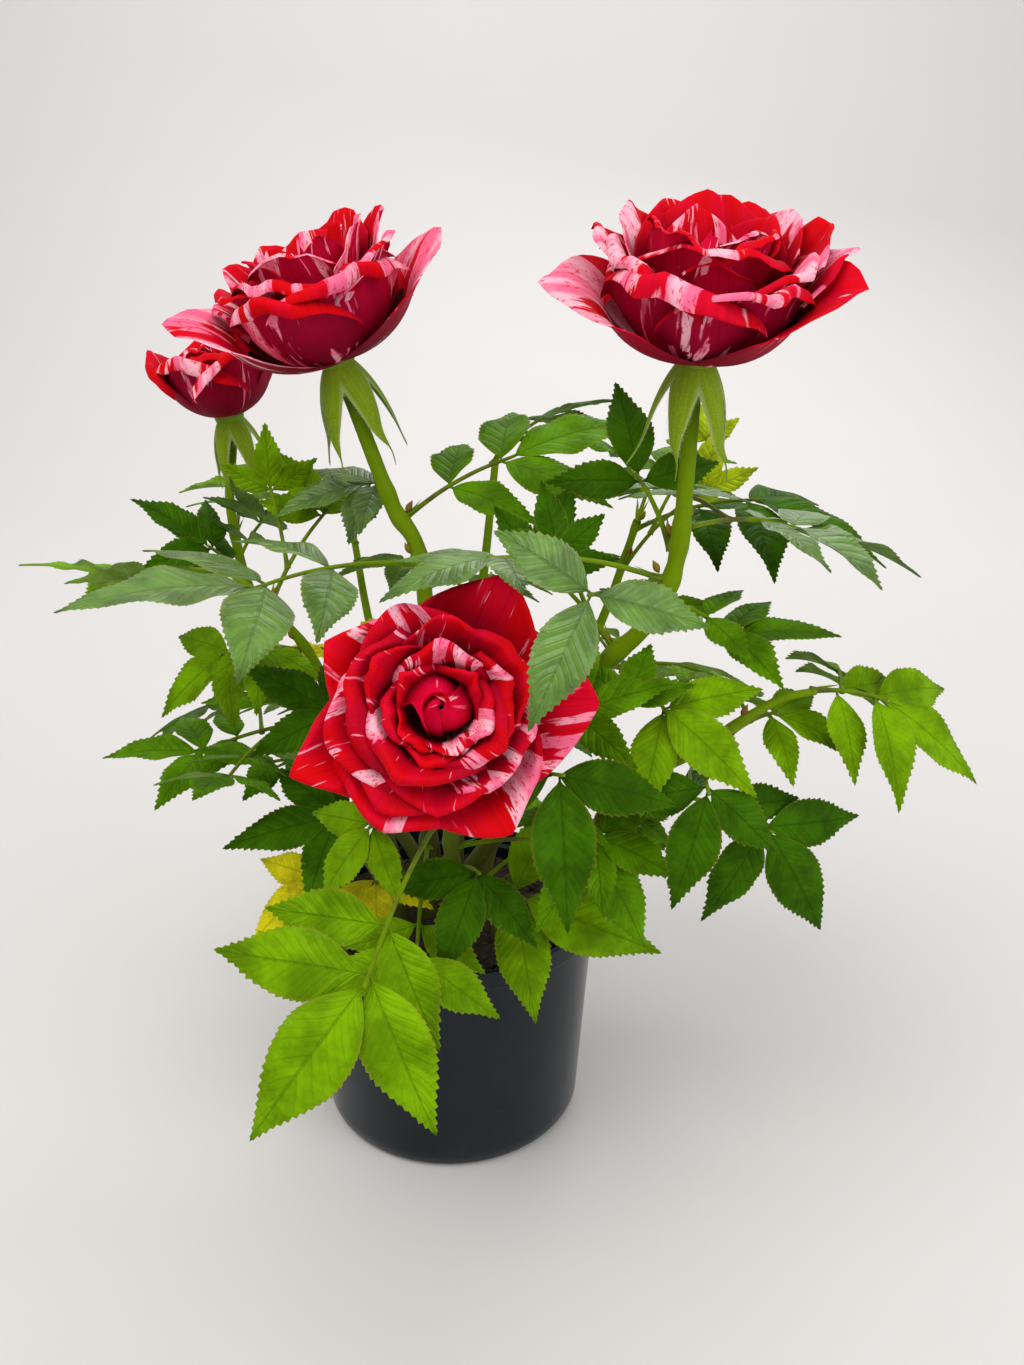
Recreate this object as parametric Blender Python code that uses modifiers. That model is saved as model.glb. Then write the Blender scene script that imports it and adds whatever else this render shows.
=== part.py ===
"""A potted miniature rose bush, about 0.33 m tall: a round plastic pot filled with potting mix, nine
canes that rise from it, four large striped blooms and 44 sprays of compound leaves.

Metres, +Z up. The origin is the centre of the pot's flat underside; the front is -Y, the right +X.
Angles in the tables are degrees: an azimuth turns from +X towards +Y, an elevation rises from level.
"""

import math
from collections import namedtuple

import bmesh
import bpy
import numpy as np
from mathutils.bvhtree import BVHTree

# ---------------------------------------------------------------- driving dimensions
GAP = 0.0003  # between two solids that touch in the real plant
JOIN_GAP = 0.0004  # from a cane's skin to the foot of a spray, which is cut square

POT_HEIGHT = 0.0825
POT_RIM_RADIUS = 0.0525
POT_BASE_RADIUS = 0.0458
POT_WALL = 0.0015
POT_FLOOR = 0.0025
POT_BAND_HEIGHT = 0.007
POT_BAND_STEP = 0.0009
POT_BAND_SLOPE = 0.001  # height over which the wall widens into the band, inside
POT_FOOT_ROUNDING = 0.004
POT_FOOT_STEPS = 4
POT_INNER_CHAMFER = 0.002
POT_SEGMENTS = 36
MERGE_DISTANCE = 0.00005  # joins the turned profile's ends on the axis
DRAIN_HOLES = 5
DRAIN_HOLE_RADIUS = 0.0035
DRAIN_HOLE_SIDES = 12
DRAIN_CIRCLE_RADIUS = 0.030

SOIL_TOP = 0.0742
SOIL_FLAT_RADIUS = 0.034
SOIL_EDGE_DROP = 0.003
SOIL_CLEARANCE = 0.0004

CANE_SIDES = 6
CANE_STEP = 0.018  # spacing of a cane's sections
NEARLY_UPRIGHT = 0.9  # height of a unit vector above which the front serves as its up

TWIG_RADIUS = 0.0010  # foot of a leaf stalk
TWIG_TIP_RADIUS = 0.0008
TWIG_STEPS = 3
TWIG_SIDES = 3
BLADE_THICKNESS = 0.0016  # at a leaflet's midrib; it tapers to nothing at the margin
BLADE_STATIONS = (0.0, 0.26, 0.64, 1.0)
ROOT_WIDTH = 0.00035  # half-width of a leaflet where it is sunk in its stalk
ROOT_THICKNESS = 0.0005
ROOT_DEPTH = 0.002  # how far an end leaflet is sunk in its stalk
LEAF_HALF_WIDTH = 0.235  # share of a leaflet's length
LEAF_SHOULDER = 0.8  # below 1 the leaflet is widest before its middle
LEAF_SIZES = (1.0, 0.85, 0.7)  # shares of its length that a leaflet may have to fit
LEAF_DROOP = 0.45  # radians that a blade bends down along its length
PAIR_START = 0.10  # from the stalk's end back to the first pair, as a share of the end leaflet
PAIR_STEP = 0.38
PAIR_LOWEST = 0.25  # share of the stalk below which no leaflet grows
SIDE_LEAFLET = 0.86
SIDE_SHRINK = 0.82
TWIG_BOW = 0.05
MORE_TURN = 75  # from a stalk to a leaf that grows on along it
MORE_RISE = 12
MORE_SCALE = 0.8
MORE_RADIUS = 0.9  # share of the first stalk's radius
UPWARD = np.array([0.0, 0.0, 1.0])
FRONTWARD = np.array([0.0, -1.0, 0.0])
STALK_TURNS = ((0, 0), (6, 0), (-6, 0), (0, 6), (0, -6), (10, 10), (10, -10), (-10, 10), (-10, -10),
               (18, 0), (-18, 0), (0, 18), (0, -18), (0, 28), (0, -28), (24, 20), (24, -20))
FIT_TURNS = ((0, 0), (12, 0), (-12, 0), (24, 0), (-24, 0), (0, 14), (0, -14), (18, 14), (18, -14),
             (-18, 14), (-18, -14), (36, 0), (-36, 0), (0, 28), (0, -28), (48, 0), (-48, 0))
LEAF_CLEARANCE = 0.0007  # kept from every other spray, cane, bloom and the pot

PETAL_THICKNESS = 0.0009
PETAL_COLUMNS = 3
PETAL_ROWS = 2
RECEPTACLE_RADIUS = 0.0065
RECEPTACLE_TOP = 0.004
HIP_LENGTH = 0.010
PETAL_ROOT_RADIUS = 0.0025  # distance from the bloom's axis at which its petals are rooted
PETAL_CLAW = 0.28  # width at the root, as a share of the greatest width
PETAL_WIDEST = 0.65  # share of a petal's length where it is widest
PETAL_SHOULDER = 0.22  # how much shorter a petal is at its sides
PETAL_KNEE = 0.55  # share of a petal's length where it is steepest
PETAL_TAPER = 0.38  # how much narrower its tip is than its greatest width
PETAL_CORNER = 2.5  # the higher, the squarer a petal's end
PETAL_SAMPLES = 33  # points along a petal's midline
MARGIN_ROLL = 0.003  # how far a petal's side margins roll down
GUARD_WRAP = 0.35  # share of a guard's width that follows the bloom's roundness
CROWN_SEGMENTS = 12
CROWN_RINGS = 6
CROWN_LOBE = 0.07
CROWN_WAIST = 0.62  # radius of the crown's foot, as a share of its greatest
HIP_SHARES = (1.0, 1.35, 1.8)  # of the cane's radius, on the way up to the receptacle
SEPALS = 5
SEPAL_LENGTH = 0.027
SEPAL_WIDTH = 0.0030
SEPAL_THICKNESS = 0.0016
SEPAL_START = 0.3  # of the turn between two sepals
SEPAL_DIP = 20  # degrees below the disc at which a sepal springs
SEPAL_FALL = 62  # and how much further down it bends
SEPAL_STATIONS = (0.0, 0.25, 0.6, 1.0)
SEPAL_TAPER = (0.8, 1.0, 0.5)  # width at each station but the tip, as a share of the greatest

# ---------------------------------------------------------------- canes
# Each cane leaves the soil upright and passes through its bends, in order, to its tip.
Cane = namedtuple("Cane", "name foot_radius tip_radius bends")
CANES = (
    Cane("cane_left_tall", 0.0030, 0.0022,
         ((-0.008, -0.002), (-0.005, -0.010, 0.140), (-0.006, -0.015, 0.205), (-0.015, -0.012, 0.225),
          (-0.027, -0.009, 0.258))),
    Cane("cane_right_tall", 0.0032, 0.0022,
         ((0.006, -0.008), (0.024, -0.028, 0.130), (0.046, -0.043, 0.179), (0.060, -0.048, 0.197),
          (0.068, -0.050, 0.217), (0.070, -0.052, 0.262))),
    Cane("cane_rear_left", 0.0026, 0.0016,
         ((-0.014, 0.012), (-0.045, 0.034, 0.125), (-0.072, 0.052, 0.168), (-0.081, 0.058, 0.206),
          (-0.079, 0.060, 0.232))),
    Cane("cane_front", 0.0028, 0.0020,
         ((0.002, -0.020), (0.003, -0.042, 0.125), (0.003, -0.056, 0.158), (0.003, -0.069, 0.175))),
    Cane("cane_right_low", 0.0024, 0.0012,
         ((0.017, -0.016), (0.040, -0.045, 0.122), (0.058, -0.054, 0.150), (0.078, -0.048, 0.159),
          (0.100, -0.042, 0.171), (0.113, -0.040, 0.174))),
    Cane("cane_left_low", 0.0024, 0.0013,
         ((-0.017, -0.006), (-0.028, -0.003, 0.125), (-0.042, 0.000, 0.166), (-0.056, 0.002, 0.186),
          (-0.070, 0.006, 0.198))),
    Cane("cane_rear_low", 0.0024, 0.0013,
         ((-0.008, 0.024), (-0.022, 0.050, 0.125), (-0.034, 0.074, 0.160), (-0.040, 0.086, 0.190))),
    Cane("cane_rear_right", 0.0026, 0.0013,
         ((0.014, 0.012), (0.036, 0.034, 0.130), (0.056, 0.050, 0.170), (0.068, 0.056, 0.205))),
    Cane("cane_rear_centre", 0.0026, 0.0013,
         ((0.002, 0.014), (0.006, 0.034, 0.140), (0.012, 0.048, 0.190), (0.016, 0.054, 0.226))),
)

# ---------------------------------------------------------------- blooms
# A bloom sits on its cane's tip and looks along axis. Its close inner petals are one lobed crown;
# the guards are its outermost petals, each at an azimuth about the axis. A guard leaves the bloom's
# base plane at rise, steepens to crest and ends at reflex, in degrees from that plane.
Bloom = namedtuple("Bloom", "name cane axis tall crown_radius lobes guards")
Guard = namedtuple("Guard", "azimuth rise crest reflex length half_width")
BLOOMS = (
    Bloom("bloom_left", "cane_left_tall", (-0.26, -0.12, 0.96), 0.042, 0.028, 6,
          (Guard(8, 36, 38, 30, 0.050, 0.0150), Guard(72, 40, 56, 24, 0.041, 0.0180),
           Guard(134, 34, 48, 8, 0.043, 0.0180), Guard(190, 30, 38, 12, 0.052, 0.0150),
           Guard(244, 36, 62, -24, 0.040, 0.0190), Guard(306, 38, 66, -20, 0.040, 0.0190))),
    Bloom("bloom_right", "cane_right_tall", (0.05, -0.20, 0.98), 0.041, 0.029, 6,
          (Guard(184, 36, 42, 10, 0.049, 0.0160), Guard(240, 38, 58, -6, 0.041, 0.0190),
           Guard(294, 34, 60, -30, 0.042, 0.0190), Guard(346, 34, 46, 0, 0.048, 0.0180),
           Guard(46, 38, 54, 20, 0.042, 0.0180), Guard(114, 40, 56, 18, 0.041, 0.0180))),
    Bloom("bloom_rear", "cane_rear_left", (-0.16, -0.10, 0.98), 0.028, 0.0150, 5,
          (Guard(182, 50, 62, 36, 0.036, 0.0130), Guard(250, 50, 68, 20, 0.034, 0.0150),
           Guard(312, 46, 60, 14, 0.035, 0.0150), Guard(24, 46, 60, 30, 0.034, 0.0140),
           Guard(100, 52, 66, 34, 0.034, 0.0150))),
    Bloom("bloom_front", "cane_front", (0.03, -0.90, 0.43), 0.028, 0.026, 5,
          (Guard(64, 20, 34, 0, 0.039, 0.0160), Guard(2, 14, 28, -6, 0.040, 0.0170),
           Guard(300, 18, 34, -20, 0.037, 0.0170), Guard(246, 18, 36, -16, 0.035, 0.0170),
           Guard(204, 12, 28, -14, 0.041, 0.0130), Guard(150, 20, 40, -14, 0.035, 0.0170))),
)

# ---------------------------------------------------------------- sprays
# A spray is a stalk with a compound leaf: a leaflet at its end and pairs below. It grows from its
# cane at a height, along azimuth and elevation. From the stalk's end the leaflets turn and dip by
# the angles given, the side ones at spread from the end one, and their upper side leans from
# straight up towards the front. more says how many smaller leaves grow on along the same stalk.
Spray = namedtuple(
    "Spray", "name cane height azimuth elevation stalk turn dip leaflet count spread lean more")
SPRAYS = (
    Spray("spray_front_trio", "cane_right_tall", 0.200, -110, 21, 0.062, -20, -70, 0.036, 3, 103, 60, 0),
    Spray("spray_left_tall_right", "cane_left_tall", 0.220, 13, 27, 0.038, 7, -5, 0.047, 5, 60, 20, 0),
    Spray("spray_left_tall_left", "cane_left_tall", 0.208, -145, 0, 0.053, 0, 14, 0.056, 5, 62, 15, 0),
    Spray("spray_right_tall_upright", "cane_right_tall", 0.221, 135, 55, 0.022, -25, 8, 0.032, 3, 80, 20, 0),
    Spray("spray_right_upper_rear", "cane_rear_right", 0.203, -40, 19, 0.050, 18, -30, 0.050, 5, 60, 10, 0),
    Spray("spray_right_upper", "cane_right_tall", 0.226, 40, -9, 0.052, -35, 0, 0.045, 5, 60, 0, 1),
    Spray("spray_young", "cane_rear_right", 0.190, -49, 36, 0.050, -20, 38, 0.022, 5, 60, 20, 1),
    Spray("spray_right_middle", "cane_right_tall", 0.205, 40, -30, 0.036, -50, 44, 0.034, 5, 60, 15, 1),
    Spray("spray_right_bright", "cane_right_low", 0.156, -120, 56, 0.026, 85, -85, 0.037, 3, 60, 50, 0),
    Spray("spray_right_dark", "cane_right_low", 0.158, -80, 8, 0.026, -34, -58, 0.036, 3, 65, 60, 0),
    Spray("spray_right_end", "cane_right_low", 1.0, 4, -10, 0.022, -18, -20, 0.042, 5, 50, 30, 1),
    Spray("spray_right_mid", "cane_right_low", 0.165, 30, 8, 0.016, -45, -22, 0.030, 3, 60, 20, 1),
    Spray("spray_right_low", "cane_right_low", 0.150, 5, -22, 0.045, -22, -35, 0.042, 5, 60, 60, 1),
    Spray("spray_right_inner", "cane_right_low", 0.135, -93, 20, 0.018, 70, -34, 0.028, 3, 60, 45, 2),
    Spray("spray_front_hanging", "cane_front", 0.150, -49, 23, 0.050, -36, -77, 0.042, 3, 75, 60, 0),
    Spray("spray_front_low", "cane_front", 0.124, -31, 20, 0.050, 0, -70, 0.036, 3, 60, 50, 0),
    Spray("spray_front_broad", "cane_front", 0.104, -50, 15, 0.033, 33, -30, 0.048, 3, 60, 60, 1),
    Spray("spray_front_dark", "cane_front", 0.112, -75, 28, 0.036, -50, -80, 0.034, 3, 60, 60, 0),
    Spray("spray_front_left", "cane_front", 0.142, -98, 2, 0.098, -50, -46, 0.047, 5, 60, 55, 0),
    Spray("spray_front_left_low", "cane_left_tall", 0.105, -83, 0, 0.072, -28, -68, 0.038, 5, 60, 60, 0),
    Spray("spray_left_pale", "cane_left_tall", 0.130, -100, 15, 0.068, -60, -62, 0.028, 3, 60, 35, 0),
    Spray("spray_left_dark", "cane_left_low", 0.120, -102, 18, 0.037, -57, -18, 0.036, 5, 60, 35, 1),
    Spray("spray_left_yellow", "cane_left_low", 0.105, -142, -10, 0.029, -17, -25, 0.032, 3, 60, 35, 1),
    Spray("spray_left_upper", "cane_rear_left", 0.180, -106, 41, 0.033, -73, 2, 0.032, 5, 60, 20, 1),
    Spray("spray_left_thin", "cane_left_low", 1.0, 175, -6, 0.040, 30, 34, 0.032, 5, 60, 0, 1),
    Spray("spray_left_bright", "cane_left_low", 0.175, -158, 4, 0.024, -6, -38, 0.032, 3, 60, 35, 1),
    Spray("spray_left_low", "cane_left_low", 0.150, 178, -16, 0.050, 8, 26, 0.034, 5, 65, 15, 2),
    Spray("spray_left_inner", "cane_left_low", 0.136, -165, 4, 0.027, 10, 25, 0.028, 5, 60, 15, 1),
    Spray("spray_left_gold", "cane_rear_low", 0.150, -135, 12, 0.046, 90, -30, 0.026, 5, 60, 20, 1),
    Spray("spray_left_tall_rear", "cane_left_tall", 0.228, 106, -5, 0.033, 94, 0, 0.034, 5, 60, 20, 0),
    Spray("spray_left_vertical", "cane_left_low", 0.188, 43, 49, 0.036, 112, 26, 0.028, 3, 60, 20, 1),
    Spray("spray_rear_top", "cane_rear_centre", 1.0, -30, 40, 0.026, 10, -14, 0.034, 5, 60, -10, 0),
    Spray("spray_middle_arch", "cane_right_tall", 0.211, -165, 10, 0.050, 25, -6, 0.038, 3, 60, 5, 0),
    Spray("spray_middle_upright", "cane_right_tall", 0.188, 154, 42, 0.034, -110, 14, 0.028, 3, 60, 40, 1),
    Spray("spray_middle_inner", "cane_right_tall", 0.180, -113, -16, 0.020, 100, 46, 0.030, 3, 60, 35, 1),
    Spray("spray_front_behind", "cane_front", 0.150, -170, 38, 0.040, -24, -8, 0.032, 3, 60, 35, 1),
    Spray("spray_back_low_left", "cane_rear_low", 0.130, 150, 0, 0.040, -15, -14, 0.036, 5, 60, -20, 2),
    Spray("spray_back_left_end", "cane_rear_low", 1.0, 120, 40, 0.030, 0, -30, 0.036, 5, 60, -20, 1),
    Spray("spray_back_centre", "cane_rear_centre", 0.170, 85, 8, 0.046, 10, -24, 0.038, 5, 60, -30, 2),
    Spray("spray_back_centre_low", "cane_rear_centre", 0.120, 100, -6, 0.046, 0, -34, 0.040, 5, 60, -40, 2),
    Spray("spray_back_right", "cane_rear_right", 0.150, 30, -4, 0.046, 10, -20, 0.038, 5, 60, -20, 2),
    Spray("spray_back_right_end", "cane_rear_right", 1.0, 65, 35, 0.028, 0, -20, 0.036, 5, 60, -20, 1),
    Spray("spray_back_left", "cane_rear_left", 0.140, 165, 0, 0.038, -10, -20, 0.036, 5, 60, -10, 1),
    Spray("spray_back_left_upper", "cane_rear_left", 0.200, 95, 20, 0.034, 10, -18, 0.034, 5, 60, -20, 0),
)

# ---------------------------------------------------------------- colours
COLOURS = {
    "pot": ((0.022, 0.025, 0.031), 0.38),
    "soil": ((0.020, 0.014, 0.010), 0.95),
    "cane": ((0.12, 0.22, 0.03), 0.50),
    "petal": ((0.62, 0.008, 0.030), 0.55),
    "leaf": ((0.09, 0.26, 0.03), 0.42),
    "leaf_yellow": ((0.62, 0.58, 0.05), 0.50),
}
YELLOW_SPRAYS = ("spray_left_yellow", "spray_left_gold", "spray_young")

PARTS = bpy.data.collections.new("potted_rose_bush")
CUTTERS = bpy.data.collections.new("cutters")


# ---------------------------------------------------------------- helpers
def clear_scene():
    for obj in list(bpy.data.objects):
        bpy.data.objects.remove(obj)
    bpy.context.scene.collection.children.link(PARTS)
    bpy.context.scene.collection.children.link(CUTTERS)


def paint(obj, kind):
    """Gives obj the Principled material for a kind of surface, made once."""
    material = bpy.data.materials.get(kind)
    if material is None:
        colour, roughness = COLOURS[kind]
        material = bpy.data.materials.new(kind)
        material.use_nodes = True
        shader = material.node_tree.nodes["Principled BSDF"]
        shader.inputs["Base Color"].default_value = (*colour, 1.0)
        shader.inputs["Roughness"].default_value = roughness
        shader.inputs["Metallic"].default_value = 0.0
    obj.data.materials.clear()
    obj.data.materials.append(material)


def mesh_object(name, vertices, faces):
    mesh = bpy.data.meshes.new(name)
    mesh.from_pydata([tuple(map(float, v)) for v in vertices], [], faces)
    mesh.update()
    obj = bpy.data.objects.new(name, mesh)
    PARTS.objects.link(obj)
    return obj


def evaluated_mesh(obj):
    bpy.context.view_layer.update()
    return bpy.data.meshes.new_from_object(obj.evaluated_get(bpy.context.evaluated_depsgraph_get()))


def turned(name, profile, segments):
    """A solid of revolution about Z from a profile of (radius, height), run down its outer side."""
    mesh = bpy.data.meshes.new(name)
    edges = [(i, i + 1) for i in range(len(profile) - 1)]
    mesh.from_pydata([(radius, 0.0, height) for radius, height in profile], edges, [])
    obj = bpy.data.objects.new(name, mesh)
    PARTS.objects.link(obj)
    screw = obj.modifiers.new("Turn", "SCREW")
    screw.steps = segments
    screw.render_steps = segments
    screw.use_merge_vertices = True
    screw.merge_threshold = MERGE_DISTANCE
    return obj


def unit(vector):
    return np.asarray(vector, float) / np.linalg.norm(vector)


def direction(azimuth, elevation):
    a, e = math.radians(azimuth), math.radians(elevation)
    return np.array([math.cos(e) * math.cos(a), math.cos(e) * math.sin(a), math.sin(e)])


def axes(forward, facing):
    """Forward, left and up axes: up is the part of facing that is square to forward."""
    up = unit(facing - forward * np.dot(facing, forward))
    return forward, np.cross(up, forward), up


def smooth_path(points, step):
    """Catmull-Rom curve through points, sampled about every step."""
    points = np.asarray(points, float)
    ends = np.vstack([2 * points[0] - points[1], points, 2 * points[-1] - points[-2]])
    samples = []
    for a, b, c, d in zip(ends, ends[1:], ends[2:], ends[3:]):
        count = max(1, round(np.linalg.norm(c - b) / step))
        for t in np.arange(count) / count:
            samples.append(0.5 * (2 * b + (c - a) * t + (2 * a - 5 * b + 4 * c - d) * t**2
                                  + (3 * b - a - 3 * c + d) * t**3))
    return np.array(samples + [points[-1]])


def tube_mesh(path, radii, sides):
    """Vertices and faces of a closed tube along path."""
    tangents = np.gradient(path, axis=0)
    facing = UPWARD if abs(unit(tangents[0])[2]) < NEARLY_UPRIGHT else FRONTWARD
    vertices = []
    for point, tangent, radius in zip(path, tangents, radii):
        _, left, up = axes(unit(tangent), facing)
        facing = up
        for k in range(sides):
            turn = 2 * math.pi * k / sides
            vertices.append(point + radius * (math.cos(turn) * left + math.sin(turn) * up))
    faces = [list(range(sides))[::-1]]
    for ring in range(len(path) - 1):
        low = ring * sides
        for k in range(sides):
            after = (k + 1) % sides
            faces.append([low + k, low + after, low + sides + after, low + sides + k])
    faces.append([(len(path) - 1) * sides + k for k in range(sides)])
    return vertices, faces


def blade_mesh(spine, left, ups, half_widths, thicknesses):
    """A leaf-like solid with a flat top and a keel under its midrib, ending in a point."""
    vertices = []
    for point, up, half, thick in zip(spine[:-1], ups, half_widths, thicknesses):
        vertices += [point - left * half + up * thick / 3, point - up * thick * 2 / 3,
                     point + left * half + up * thick / 3]
    faces = [[2, 1, 0]]
    stations = len(spine) - 1
    for ring in range(stations - 1):
        low = 3 * ring
        for k in range(3):
            after = (k + 1) % 3
            faces.append([low + k, low + after, low + 3 + after, low + 3 + k])
    vertices.append(spine[-1])
    low, tip = 3 * (stations - 1), 3 * stations
    faces += [[low + k, low + (k + 1) % 3, tip] for k in range(3)]
    return vertices, faces


def union(obj, pieces):
    """Fuses the mesh objects in pieces into obj with one Boolean on their collection, then removes them."""
    group = bpy.data.collections.new(obj.name + "_pieces")
    bpy.context.scene.collection.children.link(group)
    for piece in pieces:
        for owner in list(piece.users_collection):
            owner.objects.unlink(piece)
        group.objects.link(piece)
    join = obj.modifiers.new("Join", "BOOLEAN")
    join.operation = "UNION"
    join.operand_type = "COLLECTION"
    join.collection = group
    join.solver = "MANIFOLD"
    fused = evaluated_mesh(obj)
    obj.modifiers.remove(join)
    obj.data = fused
    for piece in pieces:
        bpy.data.objects.remove(piece)
    bpy.data.collections.remove(group)
    keep_largest_island(obj.data)


def keep_largest_island(mesh):
    """Leaves one closed body: drops loose scraps and the walls of sealed hollows, and straightens
    edges that the Boolean left in short lengths."""
    shape = bmesh.new()
    shape.from_mesh(mesh)
    islands = []
    unseen = set(shape.faces)
    while unseen:
        stack = [unseen.pop()]
        island = set(stack)
        while stack:
            for edge in stack.pop().edges:
                for other in edge.link_faces:
                    if other in unseen:
                        unseen.remove(other)
                        island.add(other)
                        stack.append(other)
        islands.append(island)
    largest = max(islands, key=len)
    rest = [face for face in shape.faces if face not in largest]
    bmesh.ops.delete(shape, geom=rest, context="FACES")
    midway = [vertex for vertex in shape.verts if len(vertex.link_edges) == 2]
    bmesh.ops.dissolve_verts(shape, verts=midway)
    shape.to_mesh(mesh)
    shape.free()


def tree_of(obj):
    """Bounding tree of obj's evaluated mesh, for tests of what touches it."""
    mesh = evaluated_mesh(obj)
    matrix = obj.matrix_world
    tree = BVHTree.FromPolygons([matrix @ v.co for v in mesh.vertices],
                                [list(face.vertices) for face in mesh.polygons])
    bpy.data.meshes.remove(mesh)
    return tree


def touches(shape, obstacles):
    """Whether a mesh given as (vertices, faces) crosses any of the bounding trees."""
    vertices, faces = shape
    tree = BVHTree.FromPolygons([tuple(v) for v in vertices], faces)
    return any(tree.overlap(obstacle) for obstacle in obstacles)


# ---------------------------------------------------------------- pot and soil
def pot_radius(height):
    """Outer radius of the pot's plain wall at a height."""
    return POT_BASE_RADIUS + (POT_RIM_RADIUS - POT_BAND_STEP - POT_BASE_RADIUS) * height / POT_HEIGHT


def make_pot():
    band_foot = POT_HEIGHT - POT_BAND_HEIGHT
    rounding = [(POT_BASE_RADIUS - POT_FOOT_ROUNDING * (1 - math.sin(a)),
                 POT_FOOT_ROUNDING * (1 - math.cos(a)))
                for a in np.linspace(math.pi / 2, 0, POT_FOOT_STEPS)]
    inside_foot = pot_radius(POT_FLOOR) - POT_WALL
    profile = [(0.0, POT_FLOOR), (inside_foot - POT_INNER_CHAMFER, POT_FLOOR),
               (inside_foot, POT_FLOOR + POT_INNER_CHAMFER),
               (pot_radius(band_foot) - POT_WALL, band_foot),
               (POT_RIM_RADIUS - POT_WALL, band_foot + POT_BAND_SLOPE),
               (POT_RIM_RADIUS - POT_WALL, POT_HEIGHT), (POT_RIM_RADIUS, POT_HEIGHT),
               (POT_RIM_RADIUS, band_foot), (pot_radius(band_foot), band_foot)]
    pot = turned("pot", profile + rounding + [(0.0, 0.0)], POT_SEGMENTS)
    for index in range(DRAIN_HOLES):
        turn = 2 * math.pi * index / DRAIN_HOLES
        bpy.ops.mesh.primitive_cylinder_add(
            vertices=DRAIN_HOLE_SIDES, radius=DRAIN_HOLE_RADIUS, depth=4 * POT_FLOOR,
            location=(DRAIN_CIRCLE_RADIUS * math.cos(turn), DRAIN_CIRCLE_RADIUS * math.sin(turn), 0))
        cutter = bpy.context.object
        cutter.name = f"drain_hole_{index + 1}"
        cutter.hide_render = True
        cutter.display_type = "WIRE"
        for owner in list(cutter.users_collection):
            owner.objects.unlink(cutter)
        CUTTERS.objects.link(cutter)
        cut = pot.modifiers.new(f"Drain {index + 1}", "BOOLEAN")
        cut.operation = "DIFFERENCE"
        cut.object = cutter
    paint(pot, "pot")
    return pot


def make_soil():
    edge = SOIL_TOP - SOIL_EDGE_DROP
    inset = POT_WALL + SOIL_CLEARANCE
    foot = POT_FLOOR + GAP
    profile = [(0.0, SOIL_TOP), (SOIL_FLAT_RADIUS, SOIL_TOP), (pot_radius(edge) - inset, edge),
               (pot_radius(foot + POT_INNER_CHAMFER) - inset, foot + POT_INNER_CHAMFER),
               (pot_radius(foot) - inset - POT_INNER_CHAMFER, foot), (0.0, foot)]
    soil = turned("soil", profile, POT_SEGMENTS)
    paint(soil, "soil")
    return soil


# ---------------------------------------------------------------- canes
def cane_path(cane):
    """Points and radii of a cane from the soil to its tip."""
    (x, y), *bends = cane.bends
    foot = SOIL_TOP + GAP
    path = smooth_path([(x, y, foot), (x, y, foot + CANE_STEP), *bends], CANE_STEP)
    return path, np.linspace(cane.foot_radius, cane.tip_radius, len(path))


def make_cane(cane):
    path, radii = cane_path(cane)
    curve = bpy.data.curves.new(cane.name, "CURVE")
    curve.dimensions = "3D"
    curve.bevel_depth = cane.foot_radius
    curve.bevel_resolution = (CANE_SIDES - 4) // 2
    curve.use_fill_caps = True
    spline = curve.splines.new("POLY")
    spline.points.add(len(path) - 1)
    for point, place, radius in zip(spline.points, path, radii):
        point.co = (*place, 1.0)
        point.radius = radius / cane.foot_radius
    obj = bpy.data.objects.new(cane.name, curve)
    PARTS.objects.link(obj)
    paint(obj, "cane")
    return obj


# ---------------------------------------------------------------- blooms
def petal_grid(origin, frame, azimuth, rise, crest, reflex, length, half_width, wrap, columns, rows):
    """Rows of points on a petal. Its midline leaves the disc at rise, steepens to crest, then turns
    back to reflex, all from the disc's plane; its width follows a rounded outline, and wrap says how
    far it bends round the bloom's axis."""
    axis, right, ahead = frame
    share = np.linspace(0, 1, PETAL_SAMPLES)
    angle = np.radians(np.interp(share, (0, PETAL_KNEE, 1), (rise, crest, reflex)))
    steps = length / (len(share) - 1)
    out = PETAL_ROOT_RADIUS + np.concatenate([[0], np.cumsum(np.cos(angle[:-1])) * steps])
    along = np.concatenate([[0], np.cumsum(np.sin(angle[:-1])) * steps])
    across = np.linspace(-1, 1, columns + 1)[None, :]
    reach = np.linspace(0, 1, rows + 1)[:, None] * (1 - PETAL_SHOULDER * np.abs(across) ** PETAL_CORNER)
    width = np.where(reach < PETAL_WIDEST,
                     PETAL_CLAW + (1 - PETAL_CLAW) * np.sin(math.pi / 2 * reach / PETAL_WIDEST),
                     1 - PETAL_TAPER * ((reach - PETAL_WIDEST) / (1 - PETAL_WIDEST)) ** 2)
    offset = across * half_width * width
    radius = np.interp(reach, share, out)
    height = np.interp(reach, share, along) - MARGIN_ROLL * np.abs(across) ** 3 * reach ** 2
    middle = math.radians(azimuth)
    bend = wrap * offset / np.maximum(radius, PETAL_ROOT_RADIUS * 2)
    turn = middle + bend
    flat = (1 - wrap) * offset
    return (origin + axis * height[..., None]
            + right * (radius * np.cos(turn) - flat * np.sin(turn))[..., None]
            + ahead * (radius * np.sin(turn) + flat * np.cos(turn))[..., None])


def petal_object(name, grid):
    rows, columns, _ = grid.shape
    faces = [[r * columns + c, r * columns + c + 1, (r + 1) * columns + c + 1, (r + 1) * columns + c]
             for r in range(rows - 1) for c in range(columns - 1)]
    obj = mesh_object(name, grid.reshape(-1, 3), faces)
    thicken = obj.modifiers.new("Thickness", "SOLIDIFY")
    thicken.thickness = PETAL_THICKNESS
    thicken.offset = 0.0
    return obj


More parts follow.
